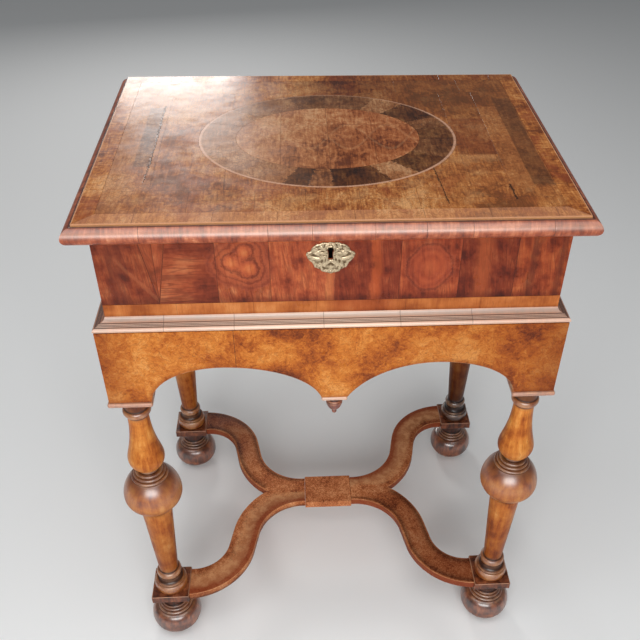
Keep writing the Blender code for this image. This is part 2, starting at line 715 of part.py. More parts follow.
def leaf_section(face):
    """A hinge leaf with its eye, about the hinge's axis: face is 1 above the axis and -1 below."""
    near, far = GAP / 2, GAP / 2 + HINGE_THICK
    edge = -(HINGE_KNUCKLE + GAP + HINGE_LEAF)
    start = -180 + math.degrees(math.asin(far / HINGE_KNUCKLE))
    end = 180 + math.degrees(math.asin(near / HINGE_KNUCKLE))
    eye = [(x, -face * y) for x, y in arc((0, 0), (HINGE_KNUCKLE, HINGE_KNUCKLE), start, end, 14)]
    hole = arc((0, 0), (HINGE_PIN + RUNNING, HINGE_PIN + RUNNING), 0, 360, 12)[:-1]
    return [[(edge, face * near), (edge, face * far), *eye], hole]


def make_hinges(box, lid, box_back, lid_board):
    """Two butt hinges let into the box's back edge and the lid's underside."""
    knuckle = HINGE_LENGTH / 3
    clear = HINGE_KNUCKLE * 2
    for name, direction in (("left", -1), ("right", 1)):
        at = HINGE_AXIS + Vector((direction * (BOX_X - HINGE_INSET), 0, 0))
        leaves = {}
        for owner, face, parent in (("box", -1, box), ("lid", 1, lid)):
            mesh = prism(f"hinge_{owner}_leaf_{name}", leaf_section(face), HINGE_LENGTH)
            leaves[owner] = add(mesh.name, mesh, at, BRASS, UPRIGHT_SIDE, parent)
        notch_front = BACK
        notch_back = HINGE_AXIS.y + clear
        spans = {
            "box": [(-knuckle / 2 - RUNNING, knuckle / 2 + RUNNING)],
            "lid": [(-HINGE_LENGTH, -knuckle / 2), (knuckle / 2, HINGE_LENGTH)],
        }
        for owner, ranges in spans.items():
            for count, (low, high) in enumerate(ranges):
                notch = slab(
                    f"notch_{owner}_{name}_{count}",
                    (at.x + low, notch_front, at.z - clear),
                    (at.x + high, notch_back, at.z + clear),
                )
                boolean(leaves[owner], notch)
        half = HINGE_LENGTH / 2 + RUNNING
        deep = HINGE_THICK + RUNNING
        let_in = BACK - HINGE_LEAF - RUNNING
        for board, level in ((box_back, BOX_TOP), (lid_board, LID_LOW)):
            recess = slab(
                f"recess_{board.name}_{name}",
                (at.x - half, let_in, level - deep),
                (at.x + half, notch_back, level + deep),
            )
            boolean(board, recess)
        pin = rod(f"hinge_pin_{name}", HINGE_PIN, HINGE_LENGTH + 2 * HINGE_PIN_HEAD, 12)
        add(pin.name, pin, at, IRON, (0, math.pi / 2, 0), box)


def keyhole_outline(ease=0.0):
    """A round with a slot under it, about the middle of the round."""
    half = KEYHOLE_SLOT / 2 + ease
    radius = KEYHOLE_ROUND + ease
    open_angle = math.degrees(math.asin(half / radius))
    return [
        (-half, -KEYHOLE_LENGTH),
        (half, -KEYHOLE_LENGTH),
        *arc((0, 0), (radius, radius), -90 + open_angle, 270 - open_angle, 12),
    ]


def escutcheon_outline():
    """A cast cartouche with an ear at each side and a scalloped foot, about its own middle."""
    half = (
        (0.0, 0.0195),
        (0.0080, 0.0190),
        (0.0150, 0.0165),
        (0.0205, 0.0120),
        (0.0232, 0.0070),
        (0.0273, 0.0045),
        (0.0262, -0.0010),
        (0.0228, -0.0050),
        (0.0196, -0.0082),
        (0.0178, -0.0126),
        (0.0122, -0.0152),
        (0.0088, -0.0188),
        (0.0, -0.0217),
    )
    right = [(x, z) for x, z in half]
    left = [(-x, z) for x, z in half[-2:0:-1]]
    return right + left


def make_lock(box, lid, box_front):
    """A till lock on the inside of the box's front, the staple on the lid, and the brass plate outside."""
    lift = ESCUTCHEON_DROP
    keyhole = [(x, z + lift) for x, z in keyhole_outline(RUNNING)]
    plate_y = BOX_FRONT - GAP - ESCUTCHEON_THICK / 2
    add(
        "escutcheon",
        prism("escutcheon", [escutcheon_outline(), keyhole], ESCUTCHEON_THICK),
        (KEYHOLE_X, plate_y, KEYHOLE_Z - lift),
        BRASS,
        UPRIGHT_FRONT,
        box,
    )
    half = LOCK_WIDTH / 2
    case = slab(
        "lock_case",
        (KEYHOLE_X - half, LOCK_FRONT, LOCK_LOW),
        (KEYHOLE_X + half, LOCK_FRONT + LOCK_DEPTH, LOCK_TOP),
        IRON,
        box,
    )
    key_end = LOCK_FRONT + LOCK_DEPTH - LOCK_WALL
    key_start = BOX_FRONT - BOX_WALL
    key_way = add(
        "key_way",
        prism("key_way", [keyhole_outline()], key_end - key_start),
        (KEYHOLE_X, (key_start + key_end) / 2, KEYHOLE_Z),
        rotation=UPRIGHT_FRONT,
    )
    boolean(box_front, key_way)
    boolean(case, key_way)

    loop_half = STAPLE_THICK / 2
    way_half = loop_half + STAPLE_EASE
    staple_way = slab(
        "staple_way",
        (STAPLE_X - way_half, LOCK_MIDDLE - LOOP_Y - STAPLE_EASE, LOOP_LOW - STAPLE_EASE),
        (STAPLE_X + way_half, LOCK_MIDDLE + LOOP_Y + STAPLE_EASE, LOCK_TOP + LOCK_DROP),
    )
    tip = STAPLE_X - way_half - STAPLE_EASE
    way_y, way_z = BOLT_THICK / 2 + RUNNING, BOLT_HEIGHT / 2 + RUNNING
    bolt_way = slab(
        "bolt_way",
        (KEYHOLE_X - LOCK_WIDTH, LOCK_MIDDLE - way_y, BOLT_Z - way_z),
        (tip + BOLT_TRAVEL + STAPLE_EASE, LOCK_MIDDLE + way_y, BOLT_Z + way_z),
    )
    boolean(case, staple_way)
    boolean(case, bolt_way)

    bolt_body = empty("bolt_slide", (tip, LOCK_MIDDLE, BOLT_Z), box)
    slab(
        "lock_bolt",
        (tip - BOLT_LENGTH, LOCK_MIDDLE - BOLT_THICK / 2, BOLT_Z - BOLT_HEIGHT / 2),
        (tip, LOCK_MIDDLE + BOLT_THICK / 2, BOLT_Z + BOLT_HEIGHT / 2),
        IRON,
        bolt_body,
    )

    staple = slab(
        "lid_staple",
        (STAPLE_X - STAPLE_WIDTH / 2, LOCK_MIDDLE - STAPLE_DEPTH / 2, STAPLE_LOW),
        (STAPLE_X + STAPLE_WIDTH / 2, LOCK_MIDDLE + STAPLE_DEPTH / 2, STAPLE_LOW + STAPLE_PLATE),
        IRON,
        lid,
    )
    loop = slab(
        "staple_loop",
        (STAPLE_X - loop_half, LOCK_MIDDLE - LOOP_Y, LOOP_LOW),
        (STAPLE_X + loop_half, LOCK_MIDDLE + LOOP_Y, STAPLE_LOW + STAPLE_PLATE / 2),
    )
    eye = slab(
        "staple_eye",
        (STAPLE_X - STAPLE_WIDTH, LOCK_MIDDLE - EYE_Y, BOLT_Z - EYE_Z),
        (STAPLE_X + STAPLE_WIDTH, LOCK_MIDDLE + EYE_Y, BOLT_Z + EYE_Z),
    )
    boolean(staple, loop, "UNION")
    boolean(staple, eye)


make_legs_and_feet()
make_stretcher()
make_frieze()
make_top_frame()
make_stand_moulding()
box_body = empty("box_seat", (0, 0, BOX_LOW))
lid_body = empty("lid_hinge", HINGE_AXIS, box_body)
front_board, back_board = make_box(box_body)
top_board = make_lid(lid_body)
make_hinges(box_body, lid_body, back_board, top_board)
make_lock(box_body, lid_body, front_board)
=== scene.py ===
import math

import bpy
import numpy as np
from mathutils import Matrix


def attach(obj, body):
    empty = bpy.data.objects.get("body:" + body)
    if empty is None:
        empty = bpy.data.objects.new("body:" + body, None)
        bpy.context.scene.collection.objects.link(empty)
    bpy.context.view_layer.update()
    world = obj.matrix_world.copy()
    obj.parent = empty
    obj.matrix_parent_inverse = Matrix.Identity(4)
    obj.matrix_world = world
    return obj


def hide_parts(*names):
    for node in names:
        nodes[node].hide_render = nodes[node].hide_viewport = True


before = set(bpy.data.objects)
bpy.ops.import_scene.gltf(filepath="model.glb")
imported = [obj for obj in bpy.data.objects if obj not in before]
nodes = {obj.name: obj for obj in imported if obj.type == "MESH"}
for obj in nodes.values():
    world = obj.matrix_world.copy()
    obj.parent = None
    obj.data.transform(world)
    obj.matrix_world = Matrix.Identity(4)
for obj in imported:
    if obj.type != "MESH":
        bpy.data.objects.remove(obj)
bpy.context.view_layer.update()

# Feet: four turned walnut bun feet under the stretcher, with three rings round a short neck.
# Each is turned in one piece, stained nearly black and waxed, and takes the leg's dowel from above.


def arc(centre, radii, start, end, count=22):
    """Ellipse arc: the centre plus each radius times the cosine and the sine of an angle in degrees."""
    angle = np.radians(np.linspace(start, end, count))
    return np.stack([centre[0] + radii[0] * np.cos(angle), centre[1] + radii[1] * np.sin(angle)], 1)


def bead(edge, most, top, height, count=22):
    """Half-round member of a turning: half an ellipse between two heights, from its edge radius to its most."""
    return arc((edge, top - height / 2), (most - edge, height / 2), 90, -90, count)


def softened(values, step, width):
    """Bell-shaped running average along a line, mirrored through its ends so that they stay put."""
    reach = max(1, int(4 * width / step))
    bell = np.exp(-0.5 * (np.arange(-reach, reach + 1) * step / width) ** 2)
    padded = np.pad(values, reach, mode="reflect", reflect_type="odd")
    return np.convolve(padded, bell / bell.sum(), "valid")


def worn(outline, rows, ease=0.00040, reach=0.0022):
    """Walks an outline in even steps, rounds its arrises with a narrow running average, and keeps more rows
    where it bends. Also gives how far each row stands proud of a wide running average: hollows are negative."""
    outline = np.asarray(outline, float)
    length = np.linalg.norm(np.diff(outline, axis=0), axis=1)
    keep = np.concatenate([[True], length > 1e-8])
    along = np.concatenate([[0.0], np.cumsum(length)])[keep]
    step = 0.00012
    walk = np.linspace(0, along[-1], max(16, int(along[-1] / step)))
    a, b = (np.interp(walk, along, outline[keep, i]) for i in (0, 1))
    soft_a, soft_b = softened(a, step, ease), softened(b, step, ease)
    wide_a, wide_b = softened(a, step, reach), softened(b, step, reach)
    da, db = np.gradient(soft_a), np.gradient(soft_b)
    proud = (-(soft_a - wide_a) * db + (soft_b - wide_b) * da) / (np.hypot(da, db) + 1e-12)
    heading = np.unwrap(np.arctan2(db, da))
    bends = np.abs(np.gradient(heading)) * 0.65 / (np.abs(np.diff(heading)).sum() + 1e-9)
    measure = np.cumsum(0.35 / len(walk) + bends)
    at = np.interp(np.linspace(measure[0], measure[-1], rows), measure, np.arange(len(walk)))
    pick = [np.interp(at, np.arange(len(walk)), line) for line in (soft_a, soft_b, proud)]
    return np.stack(pick[:2], 1), pick[2]


def put(name, data):
    """Puts new data into the scene as an object."""
    made = bpy.data.objects.new(name, data)
    bpy.context.scene.collection.objects.link(made)
    return made


def skin(name, patches, crease, ring):
    """One mesh from grids of points. Each grid joins into four-sided faces and closes round its second direction;
    its ends get a face each, or in a ring its first direction closes too. Values with a grid become attributes."""
    points, faces, values = [], [], {}
    start = 0
    for grid, marks in patches:
        m, n = grid.shape[:2]
        index = start + np.arange(m * n).reshape(m, n)
        rows = np.concatenate([index, index[:1]]) if ring else index
        rows = np.concatenate([rows, rows[:, :1]], axis=1)
        quads = np.stack([rows[:-1, :-1], rows[1:, :-1], rows[1:, 1:], rows[:-1, 1:]], -1)
        faces += quads.reshape(-1, 4).tolist()
        if not ring:
            faces += [index[0].tolist(), index[-1, ::-1].tolist()]
        points.append(grid.reshape(-1, 3))
        for title, value in marks.items():
            values.setdefault(title, []).append(np.broadcast_to(value, (m, n)).ravel())
        start += m * n
    mesh = bpy.data.meshes.new(name)
    mesh.from_pydata(np.concatenate(points).tolist(), [], faces)
    for title, value in values.items():
        attribute = mesh.attributes.new(title, "FLOAT", "POINT")
        attribute.data.foreach_set("value", np.concatenate(value).astype(np.float32))
    mesh.polygons.foreach_set("use_smooth", np.ones(len(mesh.polygons), bool))
    mesh.update()
    mesh.set_sharp_from_angle(angle=math.radians(crease))
    return put(name, mesh)


def fit(name, patches, look, body, node=None, crease=38.0, ring=False):
    """Makes a piece from its grids, gives it the named finish, and fits it to a body in the place of a node."""
    piece = skin(name, patches, crease, ring)
    piece.data.materials.append(finishes[look])
    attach(piece, body)
    if node:
        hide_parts(node)


def turned(outline, at, rows, ring=72):
    """Surface of revolution: an outline of radius and height carried round an upright axis. Old turnings shrink
    across the grain, so each circle is oval by a few parts in a thousand."""
    line, proud = worn(outline, rows)
    turn = np.linspace(0, 2 * math.pi, ring, endpoint=False)
    radius = line[:, :1] * (1 + 0.003 * np.cos(2 * turn + 40 * at[0]))
    x, y = at[0] + radius * np.cos(turn), at[1] + radius * np.sin(turn)
    grid = np.stack([x, y, np.repeat(line[:, 1:], ring, 1)], -1)
    return grid, {"proud": np.clip(proud[:, None] / 0.00036, -1, 0.72)}


def paint(red, green, blue):
    """A colour as it looks on a screen, 0 to 255, turned into the linear colour that a shader takes."""
    c = np.array([red, green, blue]) / 255
    return (*np.where(c <= 0.04045, c / 12.92, ((c + 0.055) / 1.055) ** 2.4), 1.0)


class Wire:
    """An output of a shader node. Sums, products and comparisons of wires add Math nodes to its tree, and a bar
    between two masks keeps the greater."""

    def __init__(self, socket):
        self.socket, self.tree = socket, socket.id_data

    def reckon(self, operation, b=0.0, c=0.0):
        """This value worked on by a Math node."""
        return shade(self.tree, "Math", {0: self, 1: b, 2: c}, operation=operation)

    def __add__(self, other):
        return self.reckon("ADD", other)

    def __sub__(self, other):
        return self.reckon("SUBTRACT", other)

    def __rsub__(self, first):
        return shade(self.tree, "Math", {0: first, 1: self}, operation="SUBTRACT")

    def __mul__(self, other):
        return self.reckon("MULTIPLY", other)

    def __truediv__(self, other):
        return self.reckon("DIVIDE", other)

    def __lt__(self, other):
        return self.reckon("LESS_THAN", other)

    def __gt__(self, other):
        return self.reckon("GREATER_THAN", other)

    def __or__(self, other):
        return self.reckon("MAXIMUM", other)

    def __abs__(self):
        return self.reckon("ABSOLUTE")

    def fade(self, low, high, start=0.0, end=1.0):
        """Runs smoothly from start to end while the value goes from low to high."""
        wires = {0: self, 1: low, 2: high, 3: start, 4: end}
        return shade(self.tree, "MapRange", wires, interpolation_type="SMOOTHSTEP")

    def tones(self, stops, kind="LINEAR"):
        """A run of screen colours, each at its place from 0 to 1."""
        made = shade(self.tree, "ValToRGB", {0: self})
        ramp = made.socket.node.color_ramp
        ramp.interpolation = kind
        while len(ramp.elements) < len(stops):
            ramp.elements.new(0.5)
        for spot, (where, colour) in zip(ramp.elements, stops.items()):
            spot.position = where
            spot.color = paint(*colour)
        return made

    def covered(self, share, colour):
        """This colour with a share of another laid over it, given as a wire or a screen colour."""
        wires = {0: share, 6: self, 7: colour if isinstance(colour, Wire) else paint(*colour)}
        return shade(self.tree, "Mix", wires, 2, data_type="RGBA")

    def stained(self, share, tint):
        """This colour darkened by a share of a tint, given as a wire or as parts from nought to one."""
        wires = {0: share, 6: self, 7: tint if isinstance(tint, Wire) else (*tint, 1.0)}
        return shade(self.tree, "Mix", wires, 2, data_type="RGBA", blend_type="MULTIPLY")


def settle(sockets, wires):
    """Wires or sets the named sockets of a node."""
    for title, value in wires.items():
        if isinstance(value, Wire):
            value.tree.links.new(value.socket, sockets[title])
        else:
            sockets[title].default_value = value


def shade(tree, kind, wires=None, out=0, **settings):
    """Adds a shader node with its settings and wires, and gives one output."""
    node = tree.nodes.new("ShaderNode" + kind)
    for title, value in settings.items():
        setattr(node, title, value)
    settle(node.inputs, wires or {})
    return Wire(node.outputs[out])


def mark(place, title):
    """A value that the piece's own points carry."""
    return shade(place.tree, "Attribute", out="Fac", attribute_name=title)


def join(x, y, z):
    """A place from three coordinates, of which the first is a wire."""
    return shade(x.tree, "CombineXYZ", {0: x, 1: y, 2: z})


def noise(place, scale, detail=2.0, rough=0.5, sort=None, out=0, twist=0.0):
    """Cloudy noise about a half. A sort picks another cut of it for each leaf of wood."""
    wires = {"Vector": place, "Scale": scale, "Detail": detail, "Roughness": rough, "Distortion": twist}
    if sort is None:
        return shade(place.tree, "TexNoise", wires, out)
    return shade(place.tree, "TexNoise", wires | {"W": sort}, out, noise_dimensions="4D")


def stirred(place, scale, detail, sort, most):
    """The place pushed about by coloured noise."""
    push = noise(place, scale, detail, 0.5, sort, "Color")
    push = shade(place.tree, "VectorMath", {0: push, 1: (0.5, 0.5, 0.5)}, operation="SUBTRACT")
    return shade(place.tree, "VectorMath", {0: push, 1: (most, most, most), 2: place}, operation="MULTIPLY_ADD")


def effect(work, takes, gives):
    """A shader group with named sockets, which gives what the work makes of its inputs."""
    tree = bpy.data.node_groups.new(work.__name__, "ShaderNodeTree")
    kinds = {"Place": "Vector", "Colour": "Color"}
    for way, titles in (("INPUT", takes), ("OUTPUT", gives)):
        for title in titles:
            tree.interface.new_socket(title, in_out=way, socket_type="NodeSocket" + kinds.get(title, "Float"))
    starts, ends = tree.nodes.new("NodeGroupInput").outputs, tree.nodes.new("NodeGroupOutput").inputs
    settle(ends, dict(zip(gives, work(*(Wire(starts[title]) for title in takes)))))
    return tree


def use(group, *values):
    """Places a shared effect in a material with its own values, and gives all that it puts out."""
    made = shade(values[0].tree, "Group", dict(enumerate(values)), node_tree=group)
    return [Wire(socket) for socket in made.socket.node.outputs]


def walnut_grain(place, across, along, sort):
    """Straight grain: long streaks with wandering edges, short dark pores between them, and thin growth lines."""
    run = shade(place.tree, "VectorMath", {0: place, 1: join(across, across, along)}, operation="MULTIPLY")
    bent = stirred(run, 0.22, 2.0, sort, 3.2)
    ring = (noise(bent, 0.30, 1.5, 0.5, sort) * 9.0).reckon("PINGPONG", 0.5)
    return noise(bent, 1.0, 6.0, 0.62, sort), noise(bent, 5.5).fade(0.60, 0.74), ring.fade(0.20, 0.03)


def old_polish(place, bright, dull):
    """Wax and old varnish: gloss that comes and goes with handling, over a faintly uneven face."""
    share = noise(place, 26.0, 5.0, 0.6).fade(0.34, 0.68)
    return share * (dull - bright) + bright, noise(place, 55.0, 3.0, 0.45)


def hand_wear(colour, proud, place):
    """Dark wax and dust stay in hollows and quirks, while proud arrises are rubbed pale in patches."""
    hollow = proud.fade(-0.12, -0.85, 0.0, 0.80)
    crest = proud.fade(0.30, 1.00) * noise(place, 95.0, 4.0, 0.6).fade(0.40, 0.68, 0.04, 0.50)
    return [colour.stained(hollow, (0.10, 0.07, 0.06)).covered(crest, (214, 160, 112))]


grain = effect(walnut_grain, ("Place", "Across", "Along", "Sort"), ("Streak", "Pore", "Line"))
polish = effect(old_polish, ("Place", "Bright", "Dull"), ("Roughness", "Wave"))
handling = effect(hand_wear, ("Colour", "Proud", "Place"), ("Colour",))


def bumped(height, depth, strength=0.5):
    """A surface raised by a height, where one stands for the depth."""
    return shade(height.tree, "Bump", {"Strength": strength, "Distance": depth, "Height": height})


finishes = {}


def finish(name, looks):
    """Keeps a material whose surface takes what the looks give for a place: wires or plain values."""
    finishes[name] = bpy.data.materials.new(name)
    finishes[name].use_nodes = True
    tree = finishes[name].node_tree
    settle(tree.nodes["Principled BSDF"].inputs, looks(shade(tree, "TexCoord", out="Object")))


def waxed(name, figure, bright=0.26, dull=0.42, coat=0.06, depth=0.00022, shine=0.14, haze=0.28, index=2.0):
    """A polished wood: the figure gives its colour and height at a place, handling and old polish the rest. The
    varnish over it has one thickness, or the thickness that the named attribute says."""

    def looks(place):
        colour, height = figure(place)
        (rubbed,) = use(handling, colour, mark(place, "proud"), place)
        rough, wave = use(polish, place, bright, dull)
        return {
            "Base Color": rubbed,
            "Roughness": rough,
            "Normal": bumped(wave * 0.9 + height, depth, 0.55),
            "Specular IOR Level": shine,
            "Coat Weight": mark(place, coat) if isinstance(coat, str) else coat,
            "Coat Roughness": haze,
            "Coat IOR": index,
        }

    finish(name, looks)


def dark_turning(place):
    """Upright streaks of near-black walnut with a reddish cast, dull lighter clouds, worn arrises painted paler as a
    highlight, and darkening where the pieces mark it, which on the feet's necks is painted shade under the pads.
    """
    streak, pore, _ = use(grain, place, 170.0, 30.0, 2.0)
    tone = noise(place, 60.0, 5.0, 0.6) * 0.5 + streak * 0.5
    colour = tone.tones({0.40: (56, 25, 13), 0.47: (98, 48, 26), 0.53: (126, 67, 38), 0.62: (160, 94, 58)})
    colour = colour.covered(pore * 0.6, (36, 15, 10))
    # Proud arrises are painted paler still: a painted highlight.
    colour = colour.covered(mark(place, "proud").fade(0.60, 1.0, 0.0, 0.75), (196, 150, 122))
    return colour.stained(mark(place, "stain_and_shade"), (0.22, 0.15, 0.14)), pore * -0.6


leg_places = {
    "front_left": (-0.25325, -0.1815),
    "front_right": (0.25325, -0.1815),
    "back_left": (-0.25325, 0.1815),
    "back_right": (0.25325, 0.1815),
}
foot_outline = np.concatenate(
    [
        arc((0.0225, 0.0615), (-0.0045, 0.0240), 90, 0),
        bead(0.0185, 0.0207, 0.0615, 0.0045),
        bead(0.0213, 0.0237, 0.0570, 0.0040),
        bead(0.0246, 0.0272, 0.0530, 0.0040),
        arc((0.0262, 0.0285), (0.0125, 0.0205), 90, 0, 40),
        arc((0.0115, 0.0285), (0.0272, 0.0285), 0, -90, 40),
    ]
)
waxed("dark_walnut", dark_turning, 0.30, 0.46, "gloss", shine=0.3)
for corner, at in leg_places.items():
    grid, marks = turned(foot_outline, at, 150)
    level = grid[:, :1, 2]
    marks["gloss"] = np.interp(level, [0.020, 0.036, 0.058, 0.063], [0.10, 1.0, 0.9, 0.20])
    # The neck under the pad is near black as painted shade; the rings are darkened as stain.
    marks["stain_and_shade"] = np.interp(level, [0.044, 0.050, 0.060, 0.064], [0.0, 0.45, 0.50, 0.85])
    fit(f"bun_foot_{corner}", [(grid, marks)], "dark_walnut", "stand", f"foot_{corner}")

# Pads: four square walnut blocks between foot and leg, where the stretcher's arms are jointed in.
# They are sawn from the stretcher's board, their arrises rounded by wear.


def four_corners(count):
    """Angles round the four rounded corners of a section, a quarter turn each, and where the corners lie."""
    turn = np.radians(np.linspace(0, 90, count))[None, :] + np.radians([0, 90, 180, 270])[:, None]
    return turn, np.array([[1, 1], [-1, 1], [-1, -1], [1, -1]])


def eased_board(low, high, ease):
    """A rectangle with rounded corners carried up a short profile that rounds both arrises. Each row draws the
    rectangle in by as much as the profile says, so every edge is a quarter round."""
    low, high = np.array(low), np.array(high)
    half, middle = (high - low) / 2, (high + low) / 2
    bow = np.radians(np.linspace(0, 90, 6))
    flat = 0.0004
    inset = np.concatenate([[ease + flat], ease * (1 - np.sin(bow)), [0.0]])
    rise = np.concatenate([[0.0], ease * (1 - np.cos(bow)), [ease + flat]])
    inset = np.concatenate([inset, inset[::-1]])
    level = np.concatenate([low[2] + rise, high[2] - rise[::-1]])
    turn, sign = four_corners(7)
    hub = sign * (half[:2] - ease)
    reach = np.maximum(ease - inset, 0)[:, None, None]
    pull = np.minimum(ease - inset, 0)[:, None, None]
    x = hub[:, :1] + sign[:, :1] * pull + reach * np.cos(turn)
    y = hub[:, 1:] + sign[:, 1:] * pull + reach * np.sin(turn)
    x, y = x.reshape(len(level), -1), y.reshape(len(level), -1)
    grid = np.stack([middle[0] + x, middle[1] + y, np.repeat(level[:, None], x.shape[1], 1)], -1)
    edge = np.where((inset > 0.1 * ease) & (inset < 0.95 * ease), 1.0, 0.0)
    return grid, {"proud": edge[:, None]}


def eased_block(at, half, low, top, ease):
    """An eased board that is square about an upright line."""
    x, y = at
    return eased_board((x - half, y - half, low), (x + half, y + half, top), ease)


stretcher_low, stretcher_top = 0.0858, 0.0990
for corner, at in leg_places.items():
    grid, marks = eased_block(at, 0.0285, stretcher_low, stretcher_top, 0.0012)
    marks |= {"gloss": 0.15, "stain_and_shade": 0.20}
    fit(f"stretcher_pad_{corner}", [(grid, marks)], "dark_walnut", "stand", f"pad_{corner}")

# Stretcher: a flat cross of burr walnut on pine, four arms that sweep in two arcs from a middle block.
# The arms are sawn to shape, veneered on top, and glued side by side where they run along the block.


def split(place):
    """The three coordinates of a place."""
    return [Wire(socket) for socket in shade(place.tree, "SeparateXYZ", {0: place}).socket.node.outputs]


def burr_figure(place, size, sort):
    """Burr: knotted figure that swirls round clusters of dark pips, with thin curling lines."""
    spread = shade(place.tree, "VectorMath", {0: place, "Scale": size}, operation="SCALE")
    bent = stirred(spread, 0.55, 3.0, sort, 3.4)
    pip = shade(place.tree, "TexVoronoi", {"Vector": bent, "Scale": 2.6}, "Distance").fade(0.30, 0.10)
    clump = noise(spread, 0.9, 2.0, 0.5, sort).fade(0.44, 0.62)
    curl = (noise(bent, 0.7, 1.5) * 11.0).reckon("PINGPONG", 0.5)
    return noise(bent, 1.0, 8.0, 0.66, twist=0.8), pip * clump, curl.fade(0.20, 0.03)


burr = effect(burr_figure, ("Place", "Size", "Sort"), ("Swirl", "Pip", "Curl"))


def stretcher_figure(place):
    """Reddish brown burr, close speckled light and dark, with plain redder wood along the sawn sides. The back,
    under the box, is darkened as painted shade, the outer ends of the arms are darker, and the arrises carry a painted
    pale highlight."""
    x, y, _ = split(place)
    swirl, pip, _ = use(burr, place, 120.0, 4.0)
    speck = noise(place, 560.0, 3.0, 0.7)
    tone = speck * 0.44 + swirl * 0.28 + noise(place, 24.0, 3.0) * 0.28
    colour = tone.tones(
        {0.40: (104, 48, 24), 0.45: (158, 84, 46), 0.50: (190, 110, 64), 0.55: (212, 138, 88), 0.61: (230, 168, 120)}
    )
    colour = colour.covered(pip * 0.6, (66, 30, 17))
    # The back, under the box, is darkened as painted shade.
    colour = colour.stained(y.fade(0.02, 0.16, 0.0, 0.60), (0.50, 0.42, 0.42))
    right = x.fade(0.02, 0.19) * y.fade(0.03, -0.03, 0.35, 0.82)
    left = x.fade(-0.11, -0.21, 0.0, 0.50)
    colour = colour.stained(right | left, (0.30, 0.21, 0.19))
    colour = colour.covered(mark(place, "rim") * 0.75, (134, 58, 30))
    # A pale line on the arrises: painted highlight.
    colour = colour.covered(mark(place, "proud").fade(0.45, 1.0, 0.0, 0.30), (206, 148, 100))
    return colour, pip * -0.5 + speck * 0.6


def swept_arm(side, end):
    """A rounded slab section carried along an arc, a straight length and an arc back, which meet smoothly. Its
    width swells towards both ends as the square of the turn still to come, and it stops short of the arm beside
    it. The edges of its top are darkened: grime together with painted shade."""
    start, stop = np.array([0.0403, -0.0025]), np.array([0.22445, -0.1815])
    ease, thick, gap, level = 0.0014, 0.0066, 0.00015, 0.0924
    reach = stop - start
    sweep = 0.89 * 2 * math.atan2(-reach[1], reach[0])
    radii = (reach[0] * math.sin(sweep) + reach[1] * math.cos(sweep)) / (1 - math.cos(sweep))
    share = np.concatenate([np.linspace(0, 1, 49), np.linspace(1, 0, 49)])
    turn = sweep * share
    sway = radii * np.stack([np.sin(turn), np.cos(turn) - 1], 1)
    middle = np.concatenate([start + 0.56 * sway[:49], stop - 0.44 * sway[49:]])
    half = 0.0210 + 0.0030 * (1 - share) ** 2
    bow, sign = four_corners(6)
    out = (half[:, None, None] - ease) * (sign[:, :1] * np.ones(6)) + ease * np.cos(bow)
    up = sign[:, 1:] * (thick - ease) + ease * np.sin(bow)
    out, up = out.reshape(len(share), -1), np.broadcast_to(up.ravel(), (len(share), 24))
    room = (-gap - middle[:, 1]) / np.cos(turn)
    most, least = np.minimum(half - ease, room), ease - half
    across = np.array([0.94, 0.82, 0.64, 0.36, 0.18, 0.06])
    out = np.concatenate([out[:, :6], least[:, None] + (most - least)[:, None] * across, out[:, 6:]], 1)
    up = np.concatenate([up[:, :6], np.full((len(share), 6), thick), up[:, 6:]], 1)
    x = middle[:, :1] + out * np.sin(turn)[:, None]
    y = np.minimum(middle[:, 1:] + out * np.cos(turn)[:, None], -gap)
    # The grime values darken the top along its edges: grime together with painted shade.
    edge, grime = np.array([0.0, 0.6, 1.0, 1.0, 0.6, 0.0]), np.array([-0.66, -0.42, -0.05])
    free = np.clip((room - half) / 0.006, 0, 1)[:, None]
    every = np.ones((len(share), 1))
    proud = np.concatenate([every * edge, free * grime, every * grime[::-1], np.tile(edge, (len(share), 3))], 1)
    sawn = np.abs(np.cos(bow)).ravel() > 0.75
    sawn = np.concatenate([sawn[:6], np.zeros(6, bool), sawn[6:]])
    grid = np.stack([side * x, -end * y, level + up], -1)
    return (grid if side * end < 0 else grid[:, ::-1]), {"proud": proud, "rim": sawn[None, :] * 1.0}


waxed("stretcher_burr", stretcher_figure, 0.38, 0.58, 0.0, 0.0003)
for corner, (x, y) in leg_places.items():
    arm = swept_arm(np.sign(x), np.sign(y))
    fit(f"swept_arm_{corner}", [arm], "stretcher_burr", "stand", f"stretcher_arm_{corner}")
grid, marks = eased_board((-0.04, -0.0300, stretcher_low), (0.04, 0.0300, stretcher_top), 0.0008)
marks["proud"] = marks["proud"] * (np.abs(grid[..., 0]) < 0.0388)
fit("stretcher_middle", [(grid, marks)], "stretcher_burr", "stand", "stretcher_block")

# Legs: four turned walnut legs, from the top a cove, an astragal, a long vase, stepped rings, a big ball,
# a straight taper, a collar and a base torus. Each is one turning with a dowel at both ends, waxed orange-brown.


def vase(neck, belly, top, height, count=48):
    """Bezier curve that keeps a slim neck and then swells: both handles lie straight under its ends."""
    t = np.linspace(0, 1, count)
    b = np.stack([(1 - t) ** 3, 3 * t * (1 - t) ** 2, 3 * t * t * (1 - t), t**3])
    radius, fall = neck * (b[0] + b[1]) + belly * (b[2] + b[3]), 0.64 * b[1] + 0.84 * b[2] + b[3]
    return np.stack([radius, top - height * fall], 1)


def leg_figure(place):
    """Orange wood with upright streaks, short dark flecks and darker clouds. The stain and ruddy attributes
    darken the ball, the rings and the collars; the stain also paints shade in the cove under the cap and over the back
    right leg."""
    streak, pore, _ = use(grain, place, 150.0, 16.0, 1.0)
    tone = noise(place, 34.0, 5.0, 0.62) * 0.55 + streak * 0.45
    colour = tone.tones(
        {0.38: (146, 68, 18), 0.45: (185, 100, 32), 0.51: (205, 122, 46), 0.57: (219, 141, 61), 0.65: (233, 167, 90)}
    )
    colour = colour.covered(pore * 0.45, (92, 38, 12))
    colour = colour.stained(mark(place, "ruddy"), (0.56, 0.40, 0.34))
    return colour.stained(mark(place, "stain_and_shade"), (0.07, 0.06, 0.12)), pore * -0.7


